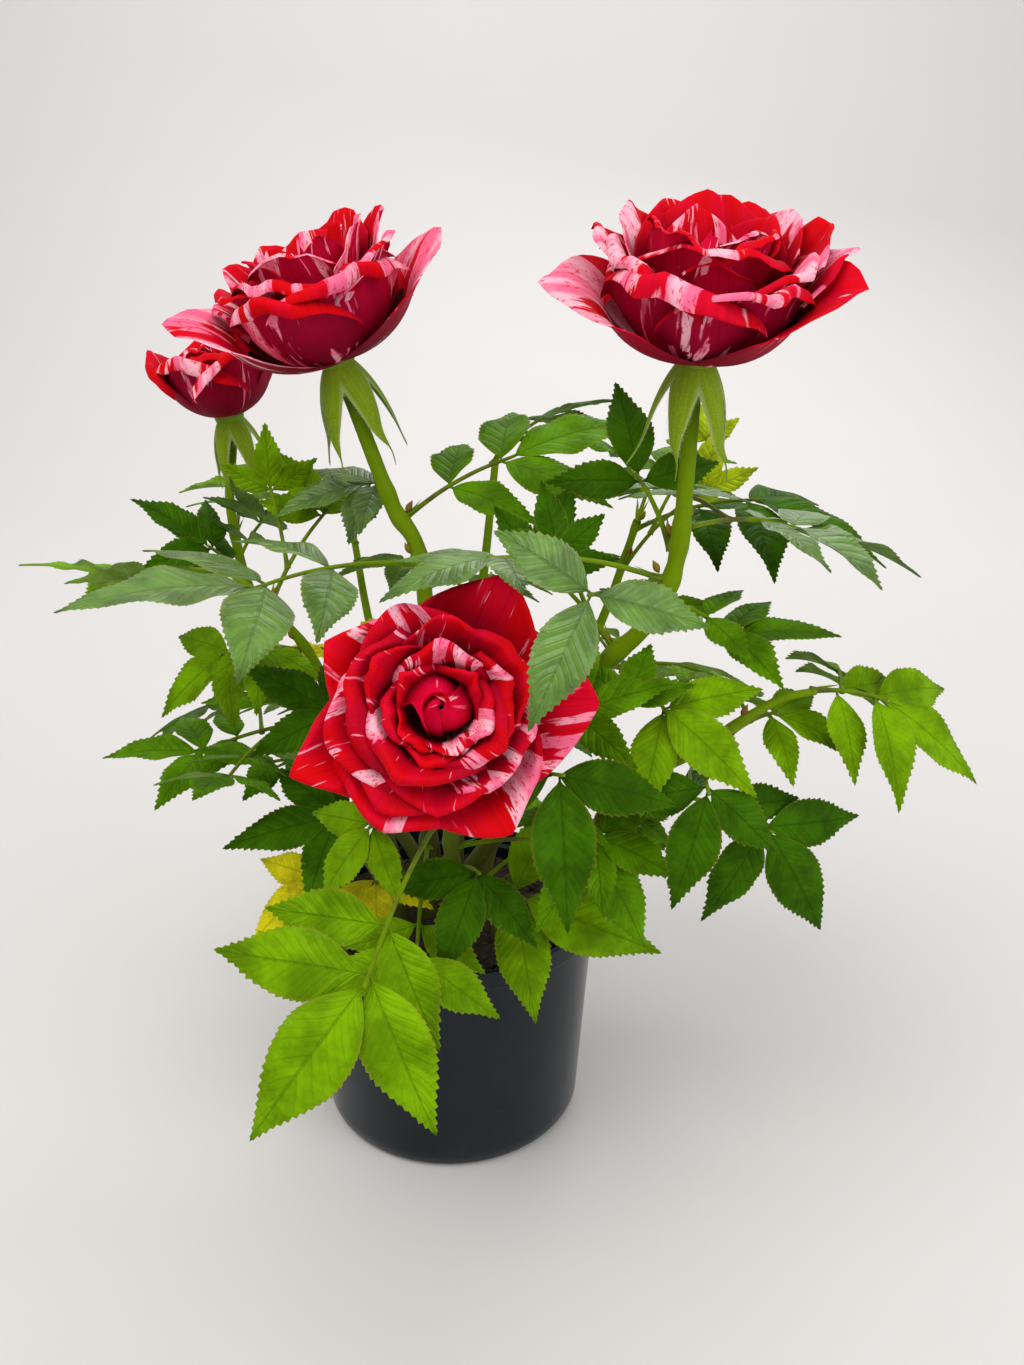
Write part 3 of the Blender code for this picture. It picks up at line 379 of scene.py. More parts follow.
# The close inner petals, each at an azimuth: circle and half_width are shares of the crown's radius
# and height of the bloom's; fall is how far the petal turns back at its end, lip the share of it
# that folds back, and lean lifts the side that lies anticlockwise.
Petal = namedtuple("Petal", "azimuth circle height half_width fall lip blush lean",
                   defaults=(0.0,))
INNER_PETALS = {bloom: [Petal(*row) for row in rows] for bloom, rows in {
    "bloom_left": (
        (252, 0.88, 0.66, 0.68, 24, 0.40, 0.9, -0.2), (318, 0.88, 0.62, 0.56, 18, 0.40, 0.8, 0.2),
        (168, 1.15, 0.56, 0.48, 10, 0.30, 0.95), (198, 1.00, 0.66, 0.62, 24, 0.35, 0.1),
        (158, 0.95, 0.76, 0.50, 12, 0.20, 0.4), (128, 0.80, 0.82, 0.56, 8, 0.10, 0.0),
        (92, 0.74, 0.84, 0.52, 10, 0.25, 0.8), (62, 0.86, 0.90, 0.44, 4, 0.15, 0.1),
        (28, 0.96, 0.86, 0.46, 4, 0.10, 1.0), (338, 1.02, 0.74, 0.52, 10, 0.30, 1.0, 0.3),
        (352, 0.70, 0.86, 0.46, 4, 0.10, 1.0, 0.3), (266, 0.56, 0.78, 0.54, 12, 0.30, 0.95, -0.3),
        (302, 0.50, 0.82, 0.46, 6, 0.10, 0.0, 0.2), (205, 0.56, 0.80, 0.46, 8, 0.20, 0.2),
        (40, 0.50, 0.84, 0.42, 6, 0.10, 0.5), (140, 0.50, 0.80, 0.42, 6, 0.10, 0.3)),
    "bloom_right": (
        (322, 0.98, 0.70, 0.64, 20, 0.45, 0.6, 0.4), (214, 1.00, 0.66, 0.56, 28, 0.45, 0.85, -0.4),
        (4, 1.25, 0.70, 0.46, 5, 0.20, 0.6), (20, 1.12, 0.80, 0.48, 4, 0.15, 0.3),
        (168, 1.02, 0.74, 0.50, 10, 0.20, 0.8), (140, 0.92, 0.82, 0.54, 8, 0.12, 0.75),
        (112, 0.84, 0.86, 0.56, 6, 0.08, 0.05), (84, 0.82, 0.89, 0.56, 6, 0.08, 0.0),
        (58, 0.86, 0.85, 0.54, 8, 0.10, 0.0), (36, 0.95, 0.84, 0.48, 8, 0.12, 0.4),
        (272, 0.66, 0.74, 0.66, 30, 0.45, 0.5), (236, 0.66, 0.82, 0.60, 10, 0.15, 0.1, -0.3),
        (300, 0.58, 0.79, 0.52, 12, 0.25, 0.2, 0.3), (20, 0.58, 0.84, 0.48, 6, 0.15, 0.1, 0.2),
        (100, 0.52, 0.84, 0.44, 6, 0.10, 0.5), (180, 0.52, 0.82, 0.44, 8, 0.20, 0.2),
        (312, 0.42, 0.82, 0.38, 8, 0.20, 0.9)),
    "bloom_front": (
        (116, 1.08, 0.62, 0.62, 20, 0.15, 0.30), (198, 1.14, 0.56, 0.58, 30, 0.50, 0.55, 0.1),
        (238, 1.16, 0.56, 0.60, 26, 0.40, 0.10), (268, 1.00, 0.64, 0.66, 26, 0.35, 0.0, 0.2),
        (332, 1.00, 0.70, 0.60, 26, 0.50, 0.6, -0.1), (28, 0.90, 0.84, 0.52, 12, 0.30, 0.15, 0.2),
        (172, 0.98, 0.80, 0.66, 30, 0.50, 0.15), (82, 0.88, 0.86, 0.60, 6, 0.12, 0.05),
        (148, 0.78, 0.90, 0.52, 4, 0.15, 0.20), (236, 0.78, 0.86, 0.62, 28, 0.55, 0.35, 0.1),
        (318, 0.68, 0.94, 0.52, 22, 0.50, 0.45, 0.3), (6, 0.70, 0.92, 0.46, 12, 0.40, 0.35),
        (90, 0.58, 0.90, 0.42, 20, 0.45, 0.75, -0.3), (345, 0.50, 0.90, 0.34, 12, 0.35, 0.45),
        (190, 0.54, 0.84, 0.38, 12, 0.30, 0.05, 0.2), (262, 0.56, 0.80, 0.40, 10, 0.25, 0.0),
        (40, 0.41, 0.88, 0.32, 8, 0.25, 0.0, 0.2), (140, 0.44, 0.86, 0.34, 8, 0.25, 0.05),
        (296, 0.42, 0.84, 0.34, 6, 0.25, 0.6), (222, 0.43, 0.80, 0.32, 6, 0.20, 0.0)),
}.items()}

# ---- sprays
# A spray is a stalk with a compound leaf: a leaflet at its end and pairs below. It grows from its
# cane at a height, along azimuth and elevation. From the stalk's end the leaflets turn and dip by
# the angles given, the side ones at spread from the end one, and their upper side leans from
# straight up towards the front. more says how many smaller leaves grow on along the same stalk,
# and tint which of the leaf colours it has.
Spray = namedtuple("Spray", "name cane height azimuth elevation stalk turn dip leaflet count "
                   "spread lean more tint")
SPRAYS = tuple(Spray("spray_" + name, "cane_" + cane, *rest) for name, cane, *rest in (
    ("front_trio", "right_tall", 0.200, -110, 21, 0.062, -20, -70, 0.036, 3, 103, 60, 0, "sheen"),
    ("left_tall_right", "left_tall", 0.220, 13, 27, 0.038, 7, -5, 0.047, 5, 60, 20, 0, "mid"),
    ("left_tall_left", "left_tall", 0.208, -145, 0, 0.053, 0, 14, 0.056, 5, 62, 15, 0, "sheen"),
    ("right_tall_upright", "right_tall", 0.221, 135, 55, 0.022, -25, 8, 0.032, 3, 80, 20, 0,
     "dark"),
    ("right_upper_rear", "rear_right", 0.203, -40, 19, 0.050, 18, -30, 0.050, 5, 60, 10, 0, "dark"),
    ("right_upper", "right_tall", 0.226, 40, -9, 0.052, -35, 0, 0.045, 5, 60, 0, 1, "sheen"),
    ("young", "rear_right", 0.190, -49, 36, 0.050, -20, 38, 0.022, 5, 60, 20, 1, "young"),
    ("right_middle", "right_tall", 0.205, 40, -30, 0.036, -50, 44, 0.034, 5, 60, 15, 1, "mid"),
    ("right_bright", "right_low", 0.156, -120, 56, 0.026, 85, -85, 0.037, 3, 60, 50, 0, "light"),
    ("right_dark", "right_low", 0.158, -80, 8, 0.026, -34, -58, 0.036, 3, 65, 60, 0, "dark"),
    ("right_end", "right_low", 1.0, 4, -10, 0.022, -18, -20, 0.042, 5, 50, 30, 1, "light"),
    ("right_mid", "right_low", 0.165, 30, 8, 0.016, -45, -22, 0.030, 3, 60, 20, 1, "light"),
    ("right_low", "right_low", 0.150, 5, -22, 0.045, -22, -35, 0.042, 5, 60, 60, 1, "dark"),
    ("right_inner", "right_low", 0.135, -93, 20, 0.018, 70, -34, 0.028, 3, 60, 45, 2, "mid"),
    ("front_hanging", "front", 0.150, -49, 23, 0.050, -36, -77, 0.042, 3, 75, 60, 0, "dark"),
    ("front_low", "front", 0.124, -31, 20, 0.050, 0, -70, 0.036, 3, 60, 50, 0, "mid"),
    ("front_broad", "front", 0.104, -50, 15, 0.033, 33, -30, 0.048, 3, 60, 60, 1, "light"),
    ("front_dark", "front", 0.112, -75, 28, 0.036, -50, -80, 0.034, 3, 60, 60, 0, "dark"),
    ("front_left", "front", 0.142, -98, 2, 0.098, -50, -46, 0.047, 5, 60, 55, 0, "light"),
    ("front_left_low", "left_tall", 0.105, -83, 0, 0.072, -28, -68, 0.038, 5, 60, 60, 0, "light"),
    ("left_pale", "left_tall", 0.130, -100, 15, 0.068, -60, -62, 0.028, 3, 60, 35, 0, "light"),
    ("left_dark", "left_low", 0.120, -102, 18, 0.037, -57, -18, 0.036, 5, 60, 35, 1, "dark"),
    ("left_yellow", "left_low", 0.105, -142, -10, 0.029, -17, -25, 0.032, 3, 60, 35, 1, "yellow"),
    ("left_upper", "rear_left", 0.180, -106, 41, 0.033, -73, 2, 0.032, 5, 60, 20, 1, "dark"),
    ("left_thin", "left_low", 1.0, 175, -6, 0.040, 30, 34, 0.032, 5, 60, 0, 1, "light"),
    ("left_bright", "left_low", 0.175, -158, 4, 0.024, -6, -38, 0.032, 3, 60, 35, 1, "light"),
    ("left_low", "left_low", 0.150, 178, -16, 0.050, 8, 26, 0.034, 5, 65, 15, 2, "mid"),
    ("left_inner", "left_low", 0.136, -165, 4, 0.027, 10, 25, 0.028, 5, 60, 15, 1, "mid"),
    ("left_gold", "rear_low", 0.150, -135, 12, 0.046, 90, -30, 0.026, 5, 60, 20, 1, "yellow"),
    ("left_tall_rear", "left_tall", 0.228, 106, -5, 0.033, 94, 0, 0.034, 5, 60, 20, 0, "sheen"),
    ("left_vertical", "left_low", 0.188, 43, 49, 0.036, 112, 26, 0.028, 3, 60, 20, 1, "light"),
    ("rear_top", "rear_centre", 1.0, -30, 40, 0.026, 10, -14, 0.034, 5, 60, -10, 0, "dark"),
    ("middle_arch", "right_tall", 0.211, -165, 10, 0.050, 25, -6, 0.038, 3, 60, 5, 0, "sheen"),
    ("middle_upright", "right_tall", 0.188, 154, 42, 0.034, -110, 14, 0.028, 3, 60, 40, 1, "dark"),
    ("middle_inner", "right_tall", 0.180, -113, -16, 0.020, 100, 46, 0.030, 3, 60, 35, 1, "mid"),
    ("front_behind", "front", 0.150, -170, 38, 0.040, -24, -8, 0.032, 3, 60, 35, 1, "dark"),
    ("back_low_left", "rear_low", 0.130, 150, 0, 0.040, -15, -14, 0.036, 5, 60, -20, 2, "mid"),
    ("back_left_end", "rear_low", 1.0, 120, 40, 0.030, 0, -30, 0.036, 5, 60, -20, 1, "light"),
    ("back_centre", "rear_centre", 0.170, 85, 8, 0.046, 10, -24, 0.038, 5, 60, -30, 2, "mid"),
    ("back_centre_low", "rear_centre", 0.120, 100, -6, 0.046, 0, -34, 0.040, 5, 60, -40, 2, "dark"),
    ("back_right", "rear_right", 0.150, 30, -4, 0.046, 10, -20, 0.038, 5, 60, -20, 2, "light"),
    ("back_right_end", "rear_right", 1.0, 65, 35, 0.028, 0, -20, 0.036, 5, 60, -20, 1, "mid"),
    ("back_left", "rear_left", 0.140, 165, 0, 0.038, -10, -20, 0.036, 5, 60, -10, 1, "dark"),
    ("back_left_upper", "rear_left", 0.200, 95, 20, 0.034, 10, -18, 0.034, 5, 60, -20, 0, "light"),
))


# ---- plain geometry
TINY = 1e-9


def unit(vectors):
    """Vectors along the last axis, each divided by its length."""
    vectors = np.asarray(vectors, float)
    return vectors / np.maximum(np.linalg.norm(vectors, axis=-1, keepdims=True), TINY)


def direction(azimuth, elevation):
    """Unit vector at an azimuth and an elevation in degrees."""
    a, e = math.radians(azimuth), math.radians(elevation)
    return np.array([math.cos(e) * math.cos(a), math.cos(e) * math.sin(a), math.sin(e)])


def axes(forward, facing):
    """Forward, left and up axes: up is the part of facing that is square to forward."""
    up = unit(facing - forward * np.dot(facing, forward))
    return forward, np.cross(up, forward), up


def smooth_path(points, step):
    """Catmull-Rom curve through points, sampled about every step."""
    points = np.asarray(points, float)
    ends = np.vstack([2 * points[0] - points[1], points, 2 * points[-1] - points[-2]])
    samples = []
    for a, b, c, d in zip(ends, ends[1:], ends[2:], ends[3:]):
        count = max(1, round(np.linalg.norm(c - b) / step))
        t = (np.arange(count) / count)[:, None]
        samples.append(0.5 * (2 * b + (c - a) * t + (2 * a - 5 * b + 4 * c - d) * t**2
                              + (3 * b - a - 3 * c + d) * t**3))
    return np.vstack(samples + [points[-1:]])


def run_of(path):
    """Length along a path from its start to each of its points."""
    return np.concatenate([[0], np.cumsum(np.linalg.norm(np.diff(path, axis=0), axis=1))])


def between(wanted, stations, path):
    """Points of a path, by straight lines, where its rising stations have the wanted values."""
    return np.stack([np.interp(wanted, stations, path[:, k]) for k in range(3)], axis=-1)


def resampled(path, count):
    """The path at count points an equal length apart."""
    run = run_of(path)
    return between(np.linspace(0, run[-1], count), run, path)


def around(sides):
    """Angles of so many points, evenly round a circle."""
    return np.linspace(0, 2 * math.pi, sides, endpoint=False)


def grid_map(across, along):
    """The map of a grid: how far across and along each of its points lies."""
    return np.stack(np.broadcast_arrays(across, along), -1)


def grid_axes(points):
    """Unit vectors at each point of a grid: back across its columns, along its rows, and square to
    both, away from its face."""
    side = -unit(np.gradient(points, axis=1))
    forth = unit(np.gradient(points, axis=0))
    return side, forth, unit(np.cross(forth, side))


def swell(x, low, high):
    """0 below low, 1 above high, and 3t^2 - 2t^3 between them."""
    t = np.clip((x - low) / (high - low), 0, 1)
    return t * t * (3 - 2 * t)


def across_frames(path):
    """Two unit vectors square to a path at each point: a fixed direction, that which the path's
    tangents run along least, less its part along the tangent, and the cross product of the two."""
    tangents = unit(np.gradient(path, axis=0))
    fixed = np.linalg.eigh(tangents.T @ tangents)[1][:, 0]
    first = unit(fixed - tangents * (tangents @ fixed)[:, None])
    return tangents, first, np.cross(tangents, first)


def grid_quads(rows, columns, closed=False):
    """Corner indices of a grid's cells; closed joins its last column to the first."""
    index = np.arange(rows * columns).reshape(rows, columns)
    if closed:
        index = np.hstack([index, index[:, :1]])
    return index_quads(index)


def index_quads(index):
    """Corner indices of the cells of a grid of vertex indices."""
    corners = index[:-1, :-1], index[:-1, 1:], index[1:, 1:], index[1:, :-1]
    return np.stack(corners, -1).reshape(-1, 4)


def linked(name, data):
    """An object with the data given, linked to the scene."""
    obj = bpy.data.objects.new(name, data)
    bpy.context.scene.collection.objects.link(obj)
    return obj


class Skin:
    """Gathers surfaces with their faces, slots, map and numbers, and makes one mesh of them."""

    def __init__(self):
        self.points, self.maps, self.numbers, self.blushes, self.rims = [], [], [], [], []
        self.faces, self.slots = [], []
        self.count = 0

    def add(self, points, face_groups, uv, number=0.0, blush=0.0, rim=None):
        """face_groups is [(indices, slot)]; rim marks the vertices along which shading breaks."""
        points = points.reshape(-1, 3)
        self.points.append(points)
        self.maps.append(np.broadcast_to(uv, (*np.shape(uv)[:-1], 2)).reshape(-1, 2))
        self.numbers.append(np.full(len(points), number))
        self.blushes.append(np.full(len(points), blush))
        self.rims.append(np.zeros(len(points), bool) if rim is None else rim)
        for faces, slot in face_groups:
            self.faces.append(faces + self.count)
            self.slots.append(np.full(len(faces), slot))
        self.count += len(points)

    def tube(self, path, radii, sides, slot=0, number=0.0):
        """A closed tube: path + r (first cos a + second sin a), drawn in to a point at both ends.
        radii is one radius, one for each point, or one for each point and side."""
        _, first, second = across_frames(path)
        turn = around(sides)[:, None]
        ring = first[:, None] * np.cos(turn) + second[:, None] * np.sin(turn)
        radii = np.asarray(radii)
        radii = radii.reshape(radii.shape + (1,) * (3 - radii.ndim))
        self.round(path[:, None] + ring * radii, path[0], path[-1], slot, number)

    def round(self, rings, start, end, slot=0, number=0.0):
        """Closed surface through rings of points, with a fan of triangles to a point at each end.
        The rings run anticlockwise as seen from the end."""
        rows, sides, _ = rings.shape
        points = np.vstack([rings.reshape(-1, 3), start[None], end[None]])
        along = np.linspace(0, 1, rows)
        uv = grid_map(np.arange(sides)[None] / sides, along[:, None])
        uv = np.vstack([uv.reshape(-1, 2), [[0.5, 0.0], [0.5, 1.0]]])
        k = np.arange(sides)
        after = (k + 1) % sides
        last = (rows - 1) * sides
        foot = np.stack([after, k, np.full(sides, rows * sides)], -1)
        top = np.stack([last + k, last + after, np.full(sides, rows * sides + 1)], -1)
        wall = grid_quads(rows, sides, closed=True)
        self.add(points, [(wall, slot), (foot, slot), (top, slot)], uv, number)

    def sheet(self, grid, thickness, uv, slots=(FACE, BACK), under=0.0, number=0.0, blush=0.0):
        """A closed thin skin round a grid of points: the grid plus and minus half the thickness
        along n, the cross product of its directions across and along; the lower layer lies deeper
        by under. Both layers share the rim."""
        rows, columns, _ = grid.shape
        normal = unit(np.cross(np.gradient(grid, axis=1), np.gradient(grid, axis=0)))
        half = normal * thickness / 2
        deep = normal * (thickness / 2 + np.broadcast_to(under, (rows, columns)))[..., None]
        edge = np.ones((rows, columns), bool)
        edge[1:-1, 1:-1] = False
        half[edge] = 0
        upper = np.arange(rows * columns).reshape(rows, columns)
        lower = upper.copy()
        lower[1:-1, 1:-1] = rows * columns + np.arange((rows - 2) * (columns - 2)).reshape(
            rows - 2, columns - 2)
        points = np.vstack([(grid + half).reshape(-1, 3), (grid - deep)[1:-1, 1:-1].reshape(-1, 3)])
        uv = np.vstack([uv.reshape(-1, 2), uv[1:-1, 1:-1].reshape(-1, 2)])
        rim = np.concatenate([edge.ravel(), np.zeros((rows - 2) * (columns - 2), bool)])
        self.add(points, [(index_quads(upper), slots[0]), (index_quads(lower)[:, ::-1], slots[1])],
                 uv, number, blush, rim)

    def piece(self, name, slot, materials, nodes=()):
        """Makes the mesh object, rides it on the body and lets it stand for its nodes."""
        mesh = bpy.data.meshes.new(name)
        loops = np.concatenate([faces.ravel() for faces in self.faces])
        sizes = np.concatenate([np.full(len(faces), faces.shape[1]) for faces in self.faces])
        mesh.vertices.add(self.count)
        mesh.vertices.foreach_set("co", np.concatenate(self.points).ravel())
        mesh.loops.add(len(loops))
        mesh.loops.foreach_set("vertex_index", loops)
        mesh.polygons.add(len(sizes))
        mesh.polygons.foreach_set("loop_start", np.cumsum(sizes) - sizes)
        mesh.polygons.foreach_set("material_index", np.concatenate(self.slots))
        mesh.polygons.foreach_set("use_smooth", np.ones(len(sizes), bool))
        mesh.uv_layers.new(name="growth").uv.foreach_set(
            "vector", np.concatenate(self.maps)[loops].ravel())
        for key, values in (("number", self.numbers), ("blush", self.blushes)):
            attribute = mesh.attributes.new(key, "FLOAT", "POINT")
            attribute.data.foreach_set("value", np.concatenate(values))
        mesh.update(calc_edges=True)
        self.break_rims(mesh)
        for material in materials:
            mesh.materials.append(material)
        obj = linked(name, mesh)
        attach(obj, BODY)
        if nodes:
            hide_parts(*nodes)
        return obj

    def plain_object(self, name):
        """A bare mesh object that isn't a piece, such as a cutting tool."""
        mesh = bpy.data.meshes.new(name)
        faces = [face for group in self.faces for face in group.tolist()]
        mesh.from_pydata(np.concatenate(self.points).tolist(), [], faces)
        return linked(name, mesh)

    def break_rims(self, mesh):
        """Marks sharp each edge whose two ends lie on a rim."""
        ends = np.empty(2 * len(mesh.edges), np.int32)
        mesh.edges.foreach_get("vertices", ends)
        sharp = np.concatenate(self.rims)[ends.reshape(-1, 2)].all(axis=1)
        mesh.attributes.new("sharp_edge", "BOOLEAN", "EDGE").data.foreach_set("value", sharp)


# ---- shading
class Value:
    """An output socket that takes part in arithmetic: each operator adds one Math node."""

    def __init__(self, surface, socket):
        self.surface, self.socket = surface, socket

    def math(self, operation, *others):
        return self.surface.math(operation, self, *others)

    def __add__(self, other):
        return self.math("ADD", other)

    __radd__ = __add__

    def __mul__(self, other):
        return self.math("MULTIPLY", other)

    __rmul__ = __mul__

    def __sub__(self, other):
        return self.math("SUBTRACT", other)

    def __rsub__(self, other):
        return self.surface.math("SUBTRACT", other, self)

    def __abs__(self):
        return self.math("ABSOLUTE")


class Surface:
    """A material under construction, with a Principled shader."""

    def __init__(self, name, **fixed):
        """fixed sets the shader's own sockets, such as Roughness=0.4 or Sheen_Weight=0.2."""
        self.material = bpy.data.materials.new(name)
        self.material.use_nodes = True
        self.tree = self.material.node_tree
        self.shader = self.tree.nodes["Principled BSDF"]
        for key, value in fixed.items():
            self.feed(self.shader.inputs[key.replace("_", " ")], value)

    def feed(self, socket, value):
        if isinstance(value, Value):
            self.tree.links.new(value.socket, socket)
        elif isinstance(value, (tuple, list)) and len(value) < len(socket.default_value):
            socket.default_value = (*value, 1.0)
        else:
            socket.default_value = value

    def node(self, kind, settings=None, sockets=None, output=0):
        """Adds a node, makes its settings, then feeds its sockets, and gives one output."""
        node = self.tree.nodes.new(kind)
        for key, value in (settings or {}).items():
            setattr(node, key, value)
        for key, value in (sockets or {}).items():
            self.feed(node.inputs[key], value)
        return Value(self, node.outputs[output])

    def math(self, operation, *values):
        return self.node("ShaderNodeMath", {"operation": operation}, dict(enumerate(values)))

    def step(self, value, low, high):
        """0 below low, 1 above high, smooth between."""
        return self.node("ShaderNodeMapRange", {"interpolation_type": "SMOOTHSTEP"},
                         {"Value": value, "From Min": low, "From Max": high})

    def mix(self, factor, first, second):
        """The first colour at factor 0, the second at 1."""
        colours = {0: factor, 6: first, 7: second}
        return self.node("ShaderNodeMix", {"data_type": "RGBA"}, colours, output=2)

    def place(self):
        """Object coordinates, in metres."""
        return self.node("ShaderNodeTexCoord", output="Object")

    def part(self, vector, index):
        """One number of a vector: 0 for its x, 1 for its y and 2 for its z."""
        return self.node("ShaderNodeSeparateXYZ", sockets={0: vector}, output=index)

    def growth(self):
        """How far across and along its surface a point lies, each from 0 to 1."""
        uv = self.node("ShaderNodeUVMap", {"uv_map": "growth"})
        return self.part(uv, 0), self.part(uv, 1)

    def number(self, key="number"):
        """A number that each surface was given when it was made."""
        return self.node("ShaderNodeAttribute", {"attribute_name": key}, output="Fac")

    def point(self, x, y, z):
        return self.node("ShaderNodeCombineXYZ", sockets={0: x, 1: y, 2: z})

    def noise(self, vector, scale, detail=3.0, roughness=0.5, distortion=0.0):
        return self.node("ShaderNodeTexNoise", sockets={
            "Vector": vector, "Scale": scale, "Detail": detail, "Roughness": roughness,
            "Distortion": distortion})

    def finish(self, colour, roughness=None, relief=None, depth=0.0002, strength=0.6):
        """Feeds what varies over the surface; relief becomes a bump of the given depth."""
        self.feed(self.shader.inputs["Base Color"], colour)
        if roughness is not None:
            self.feed(self.shader.inputs["Roughness"], roughness)
        if relief is not None:
            bump = self.node("ShaderNodeBump", sockets={
                "Strength": strength, "Distance": depth, "Height": relief})
            self.feed(self.shader.inputs["Normal"], bump)
        return self.material


def shade(colour, factor):
    """A colour made lighter or darker."""
    return tuple(min(1.0, c * factor) for c in colour)


def blend(first, second, share):
    """A colour between two others."""
    return tuple(a + (b - a) * share for a, b in zip(first, second))


def leaf_material(name, tint, reverse, edge, gloss):
    """Leaf skin: a midrib, side veins that sweep towards the tip, quilting between them, a thin
    coloured margin and slow changes of tone. On the reverse the veins are paler than the blade
    and stand out, and on the face the midrib and veins are painted darker: painted shade in
    their sunken grooves. gloss is how much light it mirrors."""
    surface = Surface(name, Specular_IOR_Level=gloss)
    step, mix, noise = surface.step, surface.mix, surface.noise
    across, along = surface.growth()
    side = abs(across * 2.0 - 1.0)
    wave = (along * VEIN_PAIRS - side * VEIN_SWEEP).math("FRACT") - 0.5
    fade = 1.0 - step(side, 0.75, 1.0)
    vein = (1.0 - step(abs(wave), 0.01, 0.11)) * fade
    midrib = 1.0 - step(side, 0.02, 0.07)
    place = surface.place()
    tone = noise(place, 75.0, 4.0, 0.65)
    grain = noise(place, 1400.0, 2.0, 0.6)
    # On the face the rib colour is a darker green, painted shade of the sunken midrib and veins; on
    # the reverse it is the paler rib itself.
    rib_tint_and_groove_shade = blend(tint, PALE_RIB, 0.38) if reverse else shade(tint, 0.55)
    colour = mix(step(tone, 0.34, 0.68), shade(tint, 0.64), shade(tint, 1.26))
    colour = mix(vein * (0.30 if reverse else 0.14), colour, rib_tint_and_groove_shade)
    colour = mix(midrib * 0.5, colour, rib_tint_and_groove_shade)
    colour = mix(step(side, 0.90, 1.0) * 0.65, colour, edge)
    lift = vein * (0.5 if reverse else -0.5) + midrib * (0.8 if reverse else -0.8)
    quilt = (0.25 - wave * wave) * fade * (-3.0 if reverse else 5.0)
    smoothest = 0.44 if reverse else 0.34 - gloss * 0.1
    return surface.finish(colour, step(grain, 0.2, 0.9) * 0.22 + smoothest,
                          lift + quilt + grain * 0.30, depth=0.00035, strength=0.7)


def petal_material(name, bloom, reverse=False, red=None, dark=(0.20, 0.78)):
    """Striped velvet: crimson cut by blush sectors with crisp edges that run from claw to margin,
    thin streaks and flecks of each colour in the other, and fine veins that fan out. A petal's
    number shifts its pattern, and its blush, 0 to 1, says how much of it is pink. Its ground is
    dark below the first of the shares along it in dark, and beyond the second it is red, or the
    bloom's own red where none is given. That dark is the deep red: partly the crimson of the
    petal's foot, partly painted shade of the bloom's bowl, and on petals close round the heart,
    where it reaches far out, painted shade of the hollow."""
    surface = Surface(name, Roughness=0.65, Specular_IOR_Level=0.05)
    step, mix, noise, point = surface.step, surface.mix, surface.noise, surface.point
    across, along = surface.growth()
    number = surface.number()
    shift = number * 61.0
    fan = point(across * 3.4 + shift, along * 0.55 + shift, shift)
    sectors = noise(fan, 1.0, 4.0, 0.62, 0.4)
    level = ((0.715 if reverse else 0.665) - surface.number("blush") * (0.17 if reverse else 0.19)
             - step(along, 0.35, 1.0) * 0.04)
    blush = step(sectors - level, 0.0, 0.022)
    streaks = noise(point(across * 26.0 + shift, along * 2.2, shift), 1.0, 2.0)
    flecks = noise(point(across * 58.0, along * 24.0, shift), 1.0, 2.0, 0.6)
    veins = noise(point(across * 60.0, along * 1.2, shift), 1.0, 2.0)
    finest = 0.65 if reverse else 0.69
    cut = step(streaks, finest, finest + 0.03) * step(along, 0.30, 0.8)
    specks = step(flecks, 0.57, 0.64)
    red = red or tuple(bloom.reverse_red if reverse else bloom.red)
    rose = blend(red, tuple(bloom.heart_red), 0.5)
    deep = tuple(bloom.deep_red)
    pink, pale = tuple(bloom.blush), tuple(bloom.pale_blush)
    warmth = noise(fan, 1.6, 2.0)
    ground = mix(step(warmth, 0.40, 0.62) * 0.8, red, rose)
    # Painted shade: out to the shares in dark, the petal is darkened towards the deep red, partly
    # its own crimson foot and partly the shade of the bowl.
    ground = mix(step(along, *dark), deep, ground)
    ground = mix(step(veins, 0.45, 0.8) * 0.35, ground, deep)
    wash = mix(step(noise(fan, 2.7, 2.0), 0.38, 0.62), pink, pale)
    wash = mix(specks * 0.85, wash, blend(red, pink, 0.25))
    share = (blush + cut * 0.75).math("MINIMUM", 1.0)
    colour = mix(share, ground, wash)
    colour = mix((1.0 - step(along, 0.03, 0.17)) * 0.75, colour, PETAL_FOOT)
    grain = noise(surface.place(), 2600.0, 2.0)
    return surface.finish(colour, None, veins * 0.8 + grain * 0.25, strength=0.55)


def stalk_material(name, young, old):
    """Smooth skin that ages in patches, with pale dots and fine lengthwise ribs."""
    surface = Surface(name, Specular_IOR_Level=0.05)
    place = surface.place()
    across, along = surface.growth()
    patches = surface.noise(place, 70.0, 3.0, 0.6)
    ribs = surface.noise(surface.point(across * 9.0, along * 14.0, 0.0), 1.0, 3.0)
    dots = surface.noise(place, 900.0, 2.0)
    colour = surface.mix(surface.step(patches, 0.45, 0.68), young, old)
    colour = surface.mix(surface.step(dots, 0.62, 0.72) * 0.35, colour, shade(young, 1.8))
    return surface.finish(colour, patches * 0.2 + 0.35, ribs + dots * 0.5)


def sepal_material(name, tint):
    """Downy green: fine lengthwise veins, and pale down that thickens towards the margins."""
    surface = Surface(name, Roughness=0.6, Specular_IOR_Level=0.06, Sheen_Weight=0.08)
    across, along = surface.growth()
    side = abs(across * 2.0 - 1.0)
    veins = surface.noise(surface.point(across * 11.0, along * 2.0, 0.0), 1.0, 3.0, 0.6)
    down = surface.noise(surface.place(), 1800.0, 2.0, 0.6)
    colour = surface.mix(surface.step(veins, 0.35, 0.7), shade(tint, 0.88), shade(tint, 1.10))
    frost = surface.step(side, 0.70, 1.0) * 0.50 + surface.step(down, 0.5, 0.75) * 0.22
    colour = surface.mix(frost.math("MINIMUM", 0.8) * 0.6, colour, SEPAL_DOWN)
    return surface.finish(colour, None, veins + down * 0.6, depth=0.00025, strength=0.7)


